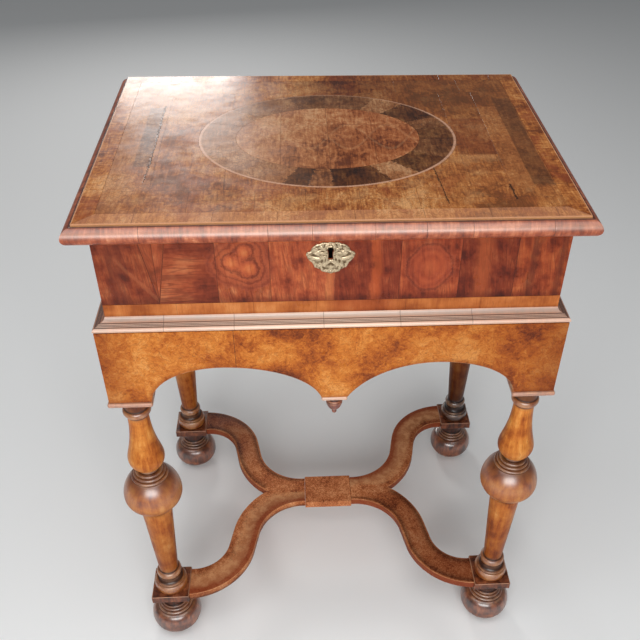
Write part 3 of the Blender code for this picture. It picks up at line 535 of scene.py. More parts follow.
leg_outline = np.concatenate(
    [
        arc((0.0215, 0.4790), (-0.0065, 0.0218), 90, 0),
        bead(0.0150, 0.0183, 0.4790, 0.0095),
        [(0.0137, 0.4680)],
        vase(0.0137, 0.0247, 0.4680, 0.0800),
        arc((0, 0.3880), (0.0247, 0.02307), 0, -52.9, 40),
        bead(0.0128, 0.0143, 0.3696, 0.0060),
        bead(0.0172, 0.0188, 0.3636, 0.0042, 14),
        bead(0.0205, 0.0221, 0.3594, 0.0042, 14),
        bead(0.0238, 0.0254, 0.3552, 0.0042, 14),
        arc((0, 0.3170), (0.0405, 0.04365), 51.2, 0, 60),
        arc((0, 0.3170), (0.0405, 0.02881), 0, -56.4, 60),
        [(0.0142, 0.1403)],
        bead(0.0150, 0.0188, 0.1403, 0.0115),
        arc((0.0205, 0.1288), (-0.0055, -0.0100), 0, 90),
        bead(0.0204, 0.0221, 0.1188, 0.0040, 14),
        bead(0.0225, 0.0252, 0.1148, 0.0155),
    ]
)
# How dark, how red and how glossy the wood is at a height.
leg_heights, *leg_depths = zip(
    (0.0990, 0.40, 0.80, 0.30),  # base torus
    (0.1135, 0.38, 0.80, 0.90),
    (0.1155, 0.64, 0.85, 0.90),  # fillet and lower cove
    (0.1190, 0.76, 0.90, 0.30),
    (0.1285, 0.76, 0.90, 0.20),
    (0.1300, 0.54, 0.85, 0.40),  # collar
    (0.1390, 0.48, 0.85, 0.90),
    (0.1410, 0.72, 0.95, 0.50),  # taper
    (0.1470, 0.32, 0.95, 0.04),
    (0.2820, 0.03, 0.55, 0.04),
    (0.2880, 0.66, 0.85, 0.04),
    (0.3030, 0.34, 0.60, 0.05),  # ball
    (0.3160, 0.20, 0.45, 0.20),
    (0.3380, 0.24, 0.50, 0.95),
    (0.3500, 0.70, 0.85, 0.75),
    (0.3690, 0.76, 0.85, 0.90),  # stepped rings
    (0.3730, 0.12, 0.35, 0.06),  # vase
    (0.4630, 0.00, 0.15, 0.04),
    (0.4690, 0.42, 0.75, 0.50),  # astragal
    (0.4785, 0.40, 0.75, 0.90),
    # The upper cove under the cap is darkened as painted shade.
    (0.4800, 0.72, 0.90, 0.15),  # upper cove
    (0.5020, 0.82, 0.90, 0.10),
)
leg_tones_and_shade = {
    "front_left": (0.85, 0.85, 0.0),
    "front_right": (0.95, 0.72, 0.0),
    "back_left": (0.80, 0.78, 0.0),
    # The back right leg is darkened all over as painted shade.
    "back_right": (1.15, 1.0, 0.50),
}
waxed("turned_walnut", leg_figure, 0.28, 0.44, "gloss", haze=0.34, index=2.25)
for corner, at in leg_places.items():
    grid, marks = turned(leg_outline, at, 330)
    stain_and_shade, ruddy, gloss = (np.interp(grid[:, :1, 2], leg_heights, depths) for depths in leg_depths)
    dark, red, darker = leg_tones_and_shade[corner]
    marks |= {"stain_and_shade": np.minimum(stain_and_shade * dark + darker, 0.95), "ruddy": ruddy * red, "gloss": gloss}
    fit(f"turned_leg_{corner}", [(grid, marks)], "turned_walnut", "stand", f"leg_{corner}")

# Caps: four thin square plates of cross-grained walnut between the legs and the rails, with rounded edges
# that catch the light. Each is bored for the dowel and glued under the corner post.


def cross_figure(place):
    """Reddish cross-grain: fine streaks across the length, each length with its own depth, dark joints, and pale
    where the pieces mark it, which is wear together with a painted highlight."""
    _, _, z = split(place)
    streak, pore, _ = use(grain, join(mark(place, "run"), 0.0, z), 380.0, 60.0, 7.0)
    tone = noise(place, 70.0, 5.0, 0.6) * 0.55 + streak * 0.45
    colour = tone.tones(
        {0.38: (108, 44, 25), 0.45: (142, 65, 38), 0.51: (166, 82, 49), 0.57: (184, 101, 65), 0.66: (208, 132, 93)}
    )
    colour = colour.covered(pore * 0.45, (74, 30, 18))
    colour = colour.stained(mark(place, "leaf"), (0.52, 0.42, 0.40))
    # Pale where the pieces mark it: wear together with a painted highlight.
    colour = colour.covered(mark(place, "wear_and_sheen"), (236, 200, 172))
    return colour.covered(mark(place, "joint") * 0.9, (38, 18, 12)), pore * -0.7


cap_low, cap_top, cap_ease = 0.5011, 0.5071, 0.0024
waxed("cross_grain_walnut", cross_figure, 0.30, 0.44, "gloss", shine=0.3, haze=0.42)
for corner, at in leg_places.items():
    grid, marks = eased_block(at, 0.02775, cap_low, cap_top, cap_ease)
    # The caps are painted a little pale, as a highlight on their edges together with wear.
    marks |= {"run": grid[..., 0], "leaf": 0.6, "wear_and_sheen": 0.30, "gloss": 0.5}
    fit(f"leg_cap_{corner}", [(grid, marks)], "cross_grain_walnut", "stand", f"cap_{corner}")

# Frieze: pine rails veneered with golden burr walnut. The front has two flat arches and each side one, sawn
# through rail and veneer alike, so that the veneer's edge shows as a pale worn line. The back is plain pine.


def arched_rail(ends, arches, low, top, front, back):
    """The lower edge runs straight and over each arch. An arch has two halves that meet at its crown, each the
    upper part of an ellipse, cut off at an angle above its axis, so that it comes down at a slope where the cut is
    high. Every point of it carries a closed section: up the face, over the top, down the back and round a small
    arris, which is laid off along the edge's own normal. Gives points as run, depth and height."""
    x, z, nx, nz = [np.array([-ends])], [np.zeros(1)], [np.zeros(1)], [np.ones(1)]
    half = 40
    whole = 2 * half + 1
    for crown, spans, rise, cuts in arches:
        falls = np.linspace(180 - cuts[0], 90, half + 1), np.linspace(90, cuts[1], half + 1)[1:]
        angle = np.radians(np.concatenate(falls))
        left = np.arange(whole) < half
        cut = np.radians(np.where(left, cuts[0], cuts[1]))
        wide, high = np.where(left, spans[0], spans[1]) / np.cos(cut), rise / (1 - np.sin(cut))
        x.append(crown + wide * np.cos(angle))
        z.append(high * (np.sin(angle) - np.sin(cut)))
        size = np.hypot(np.cos(angle) / wide, np.sin(angle) / high)
        across, along = np.cos(angle) / wide / size, np.sin(angle) / high / size
        across[[0, -1]] /= 1 + along[[0, -1]]
        along[[0, -1]] = 1.0
        nx.append(across)
        nz.append(along)
    x, z = np.concatenate([*x, [ends]]), np.concatenate([*z, [0.0]])
    nx, nz = np.concatenate([*nx, [0.0]]), np.concatenate([*nz, [1.0]])
    ease = 0.0011
    bow = np.radians(np.linspace(0, 90, 5))
    off = np.concatenate([[0.0075, 0.0030, ease + 0.0004], ease * (1 - np.sin(bow)), [0.0]])
    deep = np.concatenate([[0, 0, 0], ease * (1 - np.cos(bow)), [back - front]])
    run = x[:, None] + nx[:, None] * off
    for first in range(1, len(x) - 1, whole):
        run[first : first + whole] = np.clip(run[first : first + whole], run[first], run[first + whole - 1])
    level = low + np.maximum(z[:, None] + nz[:, None] * off, off)
    run = np.concatenate([x[:, None], x[:, None], run], 1)
    level = np.concatenate([np.full((len(x), 2), top), level], 1)
    depth = np.broadcast_to(np.concatenate([[back, front], front + deep]), run.shape)
    proud = np.array([0, 0, 0, 0, 0.2, 0.8, 1, 1, 0.8, 0.4, 0])
    rim = np.array([0, 0, 0, 0.7, 1, 1, 1, 1, 1, 1, 0])
    return np.stack([run, depth, level], -1), {"proud": proud[None, :], "rim": rim[None, :]}


def bare_pine(place, axis):
    """Unpolished carcase wood, darkened by air, with its grain along the given axis: its colour and its streaks."""
    parts = split(place)
    along = parts.pop("XYZ".index(axis))
    streak, _, line = use(grain, join(*parts, along), 90.0, 3.0, 11.0)
    colour = streak.tones({0.26: (148, 98, 54), 0.5: (178, 126, 75), 0.76: (198, 150, 96)})
    return colour.covered(line * 0.40, (122, 72, 36)), streak


def veneered(place, colour, inside, faces, thick=0.0016):
    """A colour within a veneer's thickness of the side and front faces, and another in the wood behind."""
    x, y, _ = split(place)
    side, front = faces
    return inside.covered((abs(x) > side - thick) | (y < front + thick), colour)


frieze_side, frieze_front = 0.2785, -0.20675


def frieze_figure(place):
    """Golden burr: soft clouds, a fine fleck and dark pips, redder and darker along the arches and to the right,
    with one joint."""
    x, _, _ = split(place)
    swirl, pip, curl = use(burr, place, 64.0, 9.0)
    fleck, speck, _ = use(burr, place, 260.0, 3.0)
    tone = noise(place, 17.0, 3.0) * 0.44 + swirl * 0.28 + fleck * 0.28
    colour = tone.tones(
        {0.40: (100, 40, 7), 0.45: (146, 69, 15), 0.50: (180, 97, 28), 0.55: (199, 119, 44), 0.62: (216, 147, 76)}
    )
    colour = colour.covered(curl * 0.30, (120, 54, 14))
    colour = colour.covered(pip * 0.55, (84, 34, 10))
    colour = colour.covered(speck * 0.65, (74, 30, 9))
    colour = colour.stained(mark(place, "rim") * 0.55, (0.50, 0.32, 0.26))
    colour = colour.stained(abs(x).fade(0.225, 0.278, 0.0, 0.55), (0.50, 0.34, 0.28))
    colour = colour.stained(x.fade(0.00, 0.26, 0.0, 0.62), (0.62, 0.48, 0.30))
    colour = colour.covered(x.reckon("COMPARE", -0.1188, 0.00035) * 0.8, (60, 28, 16))
    pine, _ = bare_pine(place, "X")
    return veneered(place, colour, pine, (frieze_side, frieze_front)), speck * -0.5


waxed("golden_burr_walnut", frieze_figure)
frieze_low, frieze_top, arch_rise, rail_thick = 0.5074, 0.6164, 0.0530, 0.0145
front_arches = [(-0.1380, (0.0875, 0.1215), arch_rise, (0, 10)), (0.1270, (0.1105, 0.0985), arch_rise, (26, 0))]
side_arch = [(0.0, (0.15375, 0.15375), arch_rise, (0, 0))]
rail = arched_rail(frieze_side, front_arches, frieze_low, frieze_top, frieze_front, frieze_front + rail_thick)
fit("arched_front_rail", [rail], "golden_burr_walnut", "stand", "frieze_front")
grid, marks = arched_rail(0.19195, side_arch, frieze_low, frieze_top, -frieze_side, rail_thick - frieze_side)
for side, sign in (("left", 1), ("right", -1)):
    placed = np.stack([sign * grid[..., 1], -sign * grid[..., 0], grid[..., 2]], -1)
    fit(f"arched_{side}_rail", [(placed, marks)], "golden_burr_walnut", "stand", f"frieze_{side}")


def dry_wood(name, axis):
    """Bare carcase pine with no polish, its grain raised a little."""

    def looks(place):
        colour, streak = bare_pine(place, axis)
        grime = noise(place, 9.0, 5.0, 0.65)
        return {
            "Base Color": colour.covered(grime.fade(0.45, 0.75, 0.0, 0.45), (104, 66, 38)),
            "Roughness": grime.fade(0.3, 0.7, 0.55, 0.75),
            "Normal": bumped(streak, 0.0003),
        }

    finish(name, looks)


def dress(node, look):
    """Gives a node that keeps its own shape the named finish."""
    nodes[node].data.materials.clear()
    nodes[node].data.materials.append(finishes[look])


dry_wood("pine_boards", "X")
dry_wood("pine_posts", "Z")
dress("frieze_back", "pine_boards")
for corner in leg_places:
    dress(f"corner_post_{corner}", "pine_posts")

# Pendant: a small square plate under the middle of the front rail with a turned cup and bead below it,
# in dark walnut. It is pegged into the rail by a spigot.
drop_outline = np.concatenate(
    [
        [(0.0086, 0.5030), (0.0086, 0.4996)],
        bead(0.0092, 0.0110, 0.4996, 0.0030),
        arc((0, 0.4966), (0.0106, 0.01642), -4, -78, 40),
        arc((0, 0.4769), (0.0031, 0.0038), 62, -86, 30),
    ]
)
plate, plate_marks = eased_board((-0.0165, frieze_front, cap_low), (0.0165, -0.18825, cap_top), cap_ease)
drop, drop_marks = turned(drop_outline, (0.0, -0.1975), 130, 48)
# The plate is painted pale, as a highlight together with wear; the drop is not.
plate_marks |= {"run": plate[..., 0], "leaf": 0.3, "wear_and_sheen": 0.60, "gloss": 0.8}
drop_marks |= {"run": drop[..., 0], "leaf": 1.0, "wear_and_sheen": 0.0, "gloss": 0.45}
fit("apron_pendant", [(plate, plate_marks), (drop, drop_marks)], "cross_grain_walnut", "stand", "pendant")

# Top frame: four pine rails under the box, veneered outside with golden walnut, its grain upright.
# The box stands on them, and they show as a plain golden band between the box and the moulding.


def leaves(value, joints, half=0.0003):
    """Counts how many joints a place is past, as a share of all, and marks the thin line at each joint."""
    past, line = value > joints[0], value.reckon("COMPARE", joints[0], half)
    for joint in joints[1:]:
        past = past + (value > joint)
        line = line | value.reckon("COMPARE", joint, half)
    return past / float(len(joints)), line


box_faces = 0.2650, -0.19325


def band_figure(place):
    """Orange walnut with its grain upright and soft clouds along it, redder under the lock, with a pine back."""
    x, _, z = split(place)
    streak, pore, _ = use(grain, place, 300.0, 26.0, 3.0)
    tone = noise(place, 30.0, 4.0, 0.55) * 0.72 + streak * 0.28
    colour = tone.tones({0.38: (146, 72, 28), 0.47: (172, 94, 41), 0.55: (188, 109, 53), 0.64: (202, 128, 70)})
    colour = colour.covered(pore * 0.40, (96, 42, 16))
    colour = colour.stained(x.fade(-0.020, 0.010) * x.fade(0.095, 0.050) * 0.75, (0.66, 0.40, 0.38))
    _, line = leaves(x, (-0.182, -0.094, -0.021, 0.083, 0.171), 0.00028)
    colour = colour.covered(line * 0.45, (70, 30, 14))
    colour = colour.stained(z.fade(0.6360, 0.6300, 0.0, 0.45), (0.42, 0.26, 0.22))
    pine, _ = bare_pine(place, "X")
    return veneered(place, colour, pine, box_faces), pore * -0.6


waxed("golden_band_walnut", band_figure)
for side in ("front", "back", "left", "right"):
    dress(f"top_rail_{side}", "golden_band_walnut")

# Stand moulding: short lengths of cross-grained walnut round the front and both sides, a hollow over three fine
# reeds and a torus. It is glued on the frieze's top edge and mitred at the corners.


def run_moulding(section, rows, run, joints, shades, quirks, wear_and_sheen, gloss):
    """A section carried straight along a run. Points of an end row slide along the run by as much as they stand
    out, which cuts the mitre. At every joint one row sinks by a hair, and each length between has its own shade.
    Dirt lies in the quirks, given by their heights, and the wood is painted pale in a bell about a level, most
    so about the middle of the run: a painted highlight together with wear."""
    start, way, out, length, mitre = (np.array(value) for value in run)
    line, proud = worn(section, rows, 0.00022, 0.0016)
    stations = [np.linspace(0.02, length - 0.02, 40), [0.0, length]]
    stations += [np.array(joints) + shift for shift in (-0.0009, -0.0004, -0.00005, 0.00005, 0.0004, 0.0009)]
    along = np.sort(np.concatenate(stations))
    near = np.abs(along[:, None] - np.array(joints)).min(1) < 0.0002
    slide = np.zeros((len(along), rows))
    slide[0], slide[-1] = -mitre[0] * line[:, 0], mitre[1] * line[:, 0]
    tangent = np.gradient(line, axis=0)
    normal = np.stack([-tangent[:, 1], tangent[:, 0]], 1) / (np.hypot(*tangent.T)[:, None] + 1e-12)
    sunk = line - near[:, None, None] * 0.00018 * normal
    place = along[:, None] + slide
    grid = start + place[..., None] * way + sunk[..., :1] * out + sunk[..., 1:] * np.array([0, 0, 1.0])
    shade_of = np.array(shades)[np.searchsorted(joints, along)]
    dirty = np.abs(line[:, 1:] - np.array(quirks)).min(1) < 0.00016
    proud = np.where(dirty, -1.0, np.clip(proud / 0.0004, -1, 0.4))
    level, width, most, least = wear_and_sheen
    sheen_and_wear_along = least + (most - least) * np.exp(-(((along / length - 0.46) / 0.28) ** 2))
    # A pale band about a level, strongest about the middle of the run: a painted highlight together with wear.
    pale = sheen_and_wear_along[:, None] * np.exp(-(((line[None, :, 1] - level) / width) ** 2))
    marks = {"proud": proud[None, :], "joint": near[:, None] * 1.0, "leaf": shade_of[:, None]}
    return grid, marks | {"run": along[:, None], "wear_and_sheen": pale, "gloss": gloss}


def three_runs(half, front, low, deep):
    """Where a moulding's front and side runs start, which way they go and face, how long they are, and their
    mitres."""
    left, right = (-half, front, low), (half, front, low)
    return {
        "front": (left, (1, 0, 0), (0, -1, 0), 2 * half, (1, 1)),
        "left": (left, (0, 1, 0), (-1, 0, 0), deep, (1, 0)),
        "right": (right, (0, 1, 0), (1, 0, 0), deep, (1, 0)),
    }


def against_wall(line):
    """Closes a moulding's section along the wall behind it."""
    return np.concatenate([[(0.0, line[0][1])], line, [(0.0, line[-1][1])]])


stand_section = np.concatenate(
    [
        arc((0.0064, 0.0145), (-0.0063, -0.0056), 0, 90),
        bead(0.0065, 0.0074, 0.0089, 0.0009, 8),
        bead(0.0078, 0.0087, 0.0080, 0.0009, 8),
        bead(0.0091, 0.0100, 0.0071, 0.0009, 8),
        arc((0.0106, 0.0031), (0.0036, 0.0031), 90, -75, 30),
    ]
)
stand_section, stand_half = against_wall(stand_section), 0.2653
stand_quirks, stand_shades = (0.0089, 0.0080, 0.0071, 0.0062, 0.0), (0.35, 0.05, 0.2, 0.0, 0.3, 0.12)
stand_joints = {
    "front": np.array([-0.198, -0.117, -0.013, 0.077, 0.162]) + stand_half,
    "left": (0.09, 0.21, 0.31),
    "right": (0.07, 0.18, 0.29),
}
for side, run in three_runs(stand_half, -0.19355, 0.6167, 0.4003).items():
    # The front is painted paler than the sides: a painted highlight together with wear.
    most, least, gloss = (0.94, 0.60, 0.9) if side == "front" else (0.40, 0.30, 0.45)
    wear_and_sheen = 0.0075, 0.02, most, least
    length = run_moulding(stand_section, 110, run, stand_joints[side], stand_shades, stand_quirks, wear_and_sheen, gloss)
    fit(f"cross_moulding_{side}", [length], "cross_grain_walnut", "stand", f"stand_moulding_{side}", 50.0)

# Box: four pine walls dovetailed together round a pine bottom, veneered outside with figured red walnut.
# The front has eight upright leaves, with an oyster cut let into the third from each end.


def oyster(x, z, hearts, eight_sided):
    """How far a place is from an oyster cut's hearts: round distances run together smoothly, or one eight-sided
    distance, both wandering a little as growth rings do."""
    far = None
    for heart_x, heart_z in hearts:
        dx, dz = x - heart_x, z - heart_z
        if eight_sided:
            ax, az = abs(dx), abs(dz * 0.86)
            near = ax.reckon("SMOOTH_MAX", az, 0.004).reckon("SMOOTH_MAX", (ax + az) * 0.74, 0.004)
        else:
            near = (dx * dx + dz * dz).reckon("SQRT")
        far = near if far is None else far.reckon("SMOOTH_MIN", near, 0.014)
    spot = join(x, hearts[0][0], z)
    ripple = (noise(spot, 420.0, 3.0, 0.6) - 0.5) * 0.0055
    wander = (noise(spot, 70.0, 4.0, 0.6) - 0.5) * (0.004 if eight_sided else 0.013)
    return far + ripple + wander


def strip(value, middle, half):
    """One at the middle of a soft strip, falling to nought at its half width."""
    return abs(value - middle).fade(half, half * 0.3)


def choose(mask, nought, one, kind="FLOAT"):
    """One thing where a mask is nought and another where it is one."""
    first, out = {"FLOAT": (2, 0), "VECTOR": (4, 1)}[kind]
    return shade(mask.tree, "Mix", {0: mask, first: nought, first + 1: one}, out, data_type=kind)


def leaf_colours(past, colours):
    """Gives each leaf its own colour, by the share of joints that a place is past."""
    last = len(colours) - 1
    return past.tones({max(0.0, (i - 0.5) / last): colour for i, colour in enumerate(colours)}, "CONSTANT")


def front_figure(place):
    """Leaves of red walnut side by side, each with its own tone and run of grain, two oyster cuts and a V match.
    Behind the veneer it is pine. Painted shade darkens the bottom edge and makes the keyhole near black."""
    x, y, z = split(place)
    past, line = leaves(x, (-0.2000, -0.1325, -0.0730, 0.0, 0.0740, 0.1420, 0.2060), 0.00035)
    sort = past * 31.0
    fold = abs(x + 0.200)
    vee = fold - (z - 0.650) * 0.18
    in_vee = vee.fade(0.0008, -0.0008)
    flat_leaf = past.reckon("COMPARE", 1 / 7, 0.02)
    way = choose(flat_leaf, join(z * 0.10 + x, y, z), join(z * 0.5, y, x * 0.7), "VECTOR")
    way = choose(in_vee, way, join(vee, y, z), "VECTOR")
    streak, pore, broad = use(grain, way, 270.0, 22.0, sort)
    _, _, fine = use(grain, way, 900.0, 40.0, sort)
    cloud = noise(way, 46.0, 4.0, 0.6, sort)
    tone = cloud * 0.70 + streak * 0.30
    colour = tone.tones(
        {0.38: (106, 42, 22), 0.45: (144, 63, 35), 0.51: (171, 83, 48), 0.57: (190, 102, 61), 0.66: (212, 130, 84)}
    )
    colour = colour.covered(pore * 0.45, (64, 22, 12))
    colour = colour.covered((broad | fine) * cloud.fade(0.40, 0.60, 0.10, 0.42), (84, 30, 18))
    casts = [
        (206, 192, 184), (216, 202, 196), (228, 218, 210), (250, 244, 238),
        (196, 168, 158), (228, 206, 194), (182, 154, 142), (220, 200, 176),
    ]
    colour = colour.stained(1.0, leaf_colours(past, casts))
    colour = colour.covered(in_vee * 0.20, (182, 92, 52))
    wavy = (cloud - 0.5) * 0.016 + x
    for middle, half, share, glow in (
        (0.0465, 0.0085, 0.32, (208, 96, 42)),
        (0.1680, 0.0130, 0.28, (196, 98, 50)),
        (0.2260, 0.0060, 0.55, (70, 27, 17)),
        (0.2580, 0.0060, 0.50, (76, 30, 18)),
        (-0.2420, 0.0150, 0.25, (84, 40, 30)),
    ):
        colour = colour.covered(strip(wavy, middle, half) * share, glow)
    under_lock = strip(wavy, -0.0060, 0.0060) * z.fade(0.692, 0.680)
    colour = colour.covered(under_lock * 0.25, (206, 134, 78))
    lobes = {
        0.00: (214, 128, 76), 0.14: (200, 104, 58), 0.24: (180, 86, 50), 0.34: (108, 44, 26),
        0.42: (176, 88, 52), 0.50: (164, 78, 46), 0.58: (118, 50, 30), 0.66: (166, 80, 48),
        0.80: (126, 54, 33), 0.90: (158, 74, 45), 1.00: (134, 60, 38),
    }
    plates = {
        0.00: (186, 94, 52), 0.25: (176, 82, 46), 0.40: (150, 62, 36), 0.52: (172, 78, 44), 0.66: (138, 56, 34),
        0.74: (160, 72, 43), 0.82: (88, 34, 23), 0.88: (152, 72, 44), 0.96: (92, 38, 27),
    }
    left = oyster(x, z, ((-0.1150, 0.7000), (-0.1010, 0.7140), (-0.0960, 0.6920)), False)
    right = oyster(x, z, ((0.1075, 0.6900),), True)
    for far, rings, most in ((left, lobes, 0.72), (right, plates, 0.58)):
        cut = (far / 0.032).tones(rings).stained(streak.fade(0.52, 0.34, 0.0, 0.5), (0.45, 0.30, 0.26))
        colour = colour.covered(far.fade(0.0315, 0.0255, 0.0, most), cut)
    feather = strip(fold - (z - 0.652) * 0.75 + (cloud - 0.5) * 0.012, 0.0, 0.0040)
    feather = feather * z.fade(0.716, 0.700) * (x < -0.200)
    colour = colour.covered(feather * 0.18, (196, 118, 76))
    line = line | vee.reckon("COMPARE", 0.0, 0.0005) * (z > 0.650)
    colour = colour.covered(line * 0.55, (40, 15, 10))
    # Darker along the bottom edge, above the band: painted shade.
    colour = colour.stained(z.fade(0.6600, 0.6490, 0.0, 0.55), (0.36, 0.26, 0.24))
    # Near black inside the keyhole: painted shade.
    key_x, key_z = x + 0.0050, z - 0.7120
    in_keyhole = key_x * key_x + key_z * key_z < 0.0125**2
    pine, _ = bare_pine(place, "X")
    return veneered(place, colour, pine.covered(in_keyhole, (16, 9, 6)), box_faces, 0.0008), line * -1.0


def side_figure(place):
    """The ends of the box: four plainer upright leaves of red walnut."""
    _, y, _ = split(place)
    past, line = leaves(y, (-0.085, 0.010, 0.105), 0.00035)
    streak, pore, _ = use(grain, place, 150.0, 14.0, past * 23.0)
    colour = streak.tones({0.28: (64, 25, 15), 0.45: (112, 48, 28), 0.60: (146, 70, 38), 0.8: (184, 104, 56)})
    colour = colour.covered(pore * 0.7, (48, 18, 12))
    colour = colour.covered(line * 0.8, (36, 14, 9))
    pine, _ = bare_pine(place, "Y")
    return veneered(place, colour, pine, box_faces), pore * -0.6


waxed("red_walnut_front", front_figure)
waxed("red_walnut_ends", side_figure)
dress("box_front", "red_walnut_front")
for side in ("left", "right"):
    dress(f"box_{side}", "red_walnut_ends")
for side in ("back", "bottom"):
    dress(f"box_{side}", "pine_boards")

# Escutcheon: a cast brass plate round the keyhole, with ears, a scalloped foot and foliage in low relief.
# It is chased after casting, toned by age in its hollows, and held by four round-headed brass pins.


def escutcheon_plate(middle, y_back):
    """Runs a grid from the keyhole's edge out to the plate's edge, both walked by angle about a point in the
    keyhole. The face is domed, with a rim at both edges and leaves that wave with the angle and the way out, alike
    on both sides. The plate's back closes the grid round to a ring."""
    half = [
        (0.0, 0.0195), (0.0040, 0.0186), (0.0080, 0.0193), (0.0122, 0.0172), (0.0150, 0.0168),
        (0.0205, 0.0122), (0.0222, 0.0080), (0.0262, 0.0066), (0.0273, 0.0042), (0.0258, -0.0006),
        (0.0232, -0.0042), (0.0205, -0.0068), (0.0190, -0.0100), (0.0180, -0.0128), (0.0140, -0.0146),
        (0.0118, -0.0160), (0.0092, -0.0190), (0.0046, -0.0200), (0.0, -0.0217),
    ]
    half = np.array(half)
    outline = np.concatenate([half, half[-2:0:-1] * [-1, 1]])
    hub = np.array([0.0, 0.0060])
    angle = np.linspace(-math.pi, math.pi, 241)[:-1]
    rel = outline - hub
    bearing = np.arctan2(rel[:, 0], rel[:, 1])
    order = np.argsort(bearing)
    bearing, reach = bearing[order], np.hypot(rel[:, 0], rel[:, 1])[order]
    wrapped = np.concatenate([bearing - 2 * math.pi, bearing, bearing + 2 * math.pi])
    edge = np.interp(angle, wrapped, np.tile(reach, 3))
    s, c = np.sin(angle), np.cos(angle)
    lift = 0.0093 - hub[1]
    round_r, slot, foot, far = 0.0037, 0.0027, -0.0120 + lift, 9.0
    b = lift * c
    circle = b + np.sqrt(np.maximum(b * b - lift * lift + round_r**2, 1e-9))
    straight = np.where(np.abs(s) > 1e-6, slot / np.maximum(np.abs(s), 1e-6), far)
    down = np.where(c < -1e-6, foot / np.minimum(c, -1e-6), far)
    slit = np.minimum(straight, np.where(c < 0, down, far)) * (c < 0.55)
    key = np.maximum(slit, np.where(c > -0.4, circle, 0.0))
    t = np.linspace(0, 1, 46)[:, None]
    out = key + (edge - key) * t
    mirror = np.abs(angle)
    leaf = np.sin(11.0 * mirror + 7.0 * t) * np.sin(math.pi * t)
    leaf = leaf + 0.7 * np.sin(19.0 * t - 3.0 * np.sin(5.0 * mirror))
    veins = np.sin(34.0 * mirror + 5.0 * np.sin(9.0 * t))
    face = 0.00120 + 0.00026 * leaf * np.sin(math.pi * t) ** 0.7 + 0.00010 * veins * t
    face = face + 0.0005 * np.exp(-(((t - 0.07) / 0.05) ** 2)) - 0.0009 * t**9
    back = np.zeros((1, len(angle)))
    height = np.concatenate([back, face, back])
    spread = np.concatenate([out[:1], out, out[-1:]])
    grid = np.stack([middle[0] + spread * s, y_back - height, middle[1] + hub[1] + spread * c], -1)
    sunk = np.concatenate([back, leaf + 0.5 * veins * t, back])
    return grid, {"proud": sunk * 0.8}


def brass_look(name, fresh, toned):
    """Old brass: bright where it is rubbed, brown in the hollows, with a fine cast surface."""

    def looks(place):
        spots = noise(place, 420.0, 5.0, 0.65)
        rubbed = spots * 0.9 + mark(place, "proud") * 0.24
        return {
            "Base Color": rubbed.fade(0.10, 0.62).tones({0.0: toned, 1.0: fresh}),
            "Roughness": rubbed.fade(0.1, 0.7, 0.55, 0.27),
            "Normal": bumped(spots, 0.0002),
            "Metallic": 0.72,
        }

    finish(name, looks)


def round_head(centre, facing, radius, height, slot):
    """A fastener's head: a disc grid whose height falls off as a dome, with an optional straight slot sunk across
    it. The disc is turned to face a direction, and its rim goes back to the surface."""
    ring = np.linspace(0, 2 * math.pi, 32, endpoint=False)
    r = np.concatenate([[1.0], np.linspace(1.0, 0.02, 12)])[:, None]
    a, b = r * np.cos(ring), r * np.sin(ring)
    up = height * np.sqrt(np.maximum(1 - 0.92 * r**2, 0.0)) - slot * np.exp(-((a / 0.16) ** 4))
    up[0] = 0.0
    facing = np.array(facing, float)
    side = np.cross(facing, [0.31, 0.17, 0.93])
    side /= np.linalg.norm(side)
    other = np.cross(facing, side)
    return np.array(centre) + radius * (a[..., None] * side + b[..., None] * other) + up[..., None] * facing


def fasten(name, metal, body, centres, facing, radius, height, slot=0.0, proud=0.0):
    """Drives a set of like heads, as one piece."""
    heads = [(round_head(centre, facing, radius, height, slot), {"proud": proud}) for centre in centres]
    fit(name, heads, metal, body)


brass_look("cast_brass", (208, 187, 154), (92, 70, 45))
plate_x, plate_back, plate_z = -0.0050, -0.19355, 0.7067
plate = escutcheon_plate((plate_x, plate_z), plate_back)
fit("cast_escutcheon", [plate], "cast_brass", "box", "escutcheon", 70.0, True)
pin_spots = (-0.0238, 0.0036), (0.0238, 0.0036), (0.0, -0.0180), (0.0, 0.0172)
pin_centres = [(plate_x + x, plate_back - 0.0010, plate_z + z) for x, z in pin_spots]
fasten("escutcheon_pins", "cast_brass", "box", pin_centres, (0, -1, 0), 0.0013, 0.0011, proud=1.0)

# Lock: an iron till lock screwed inside the front, its bolt, and the staple on the lid that it shoots into.
# They are forged and filed, and black with age.


def iron_look(place):
    """Forged iron gone dark: grey where it is rubbed, rust brown in patches."""
    rust = noise(place, 160.0, 6.0, 0.7)
    return {
        "Base Color": rust.tones({0.3: (58, 54, 52), 0.52: (88, 83, 79), 0.66: (92, 66, 48), 0.8: (70, 44, 30)}),
        "Roughness": rust.fade(0.35, 0.7, 0.38, 0.72),
        "Metallic": rust.fade(0.70, 0.50, 0.25, 0.95),
        "Normal": bumped(rust, 0.0003),
    }


finish("wrought_iron", iron_look)
for node in ("lock_case", "lock_bolt", "lid_staple", "hinge_pin_left", "hinge_pin_right"):
    dress(node, "wrought_iron")
case_spots = [(x, -0.16295, z) for x in (-0.0290, 0.0190) for z in (0.7025, 0.7300)]
fasten("lock_screws", "wrought_iron", "box", case_spots, (0, 1, 0), 0.0024, 0.0012, 0.0006)
staple_spots = [(0.0050 + x, -0.17045, 0.7352) for x in (-0.0110, 0.0110)]
fasten("staple_screws", "wrought_iron", "lid", staple_spots, (0, 0, -1), 0.0017, 0.0007, 0.0004)

# Hinges: two brass butt hinges let into the back edge and the lid, each leaf held by three iron screws.
# The leaves are cast and filed flat, and turn on iron pins.
brass_look("hinge_brass", (196, 168, 104), (112, 88, 46))
for side, x in (("left", -0.165), ("right", 0.165)):
    for owner, level, facing in (("box", 0.7367, 1), ("lid", 0.7370, -1)):
        dress(f"hinge_{owner}_leaf_{side}", "hinge_brass")
        spots = [(x + step, 0.2004, level) for step in (-0.016, 0.0, 0.016)]
        fasten(f"hinge_screws_{owner}_{side}", "wrought_iron", owner, spots, (0, 0, facing), 0.0018, 0.00012, 0.00035)

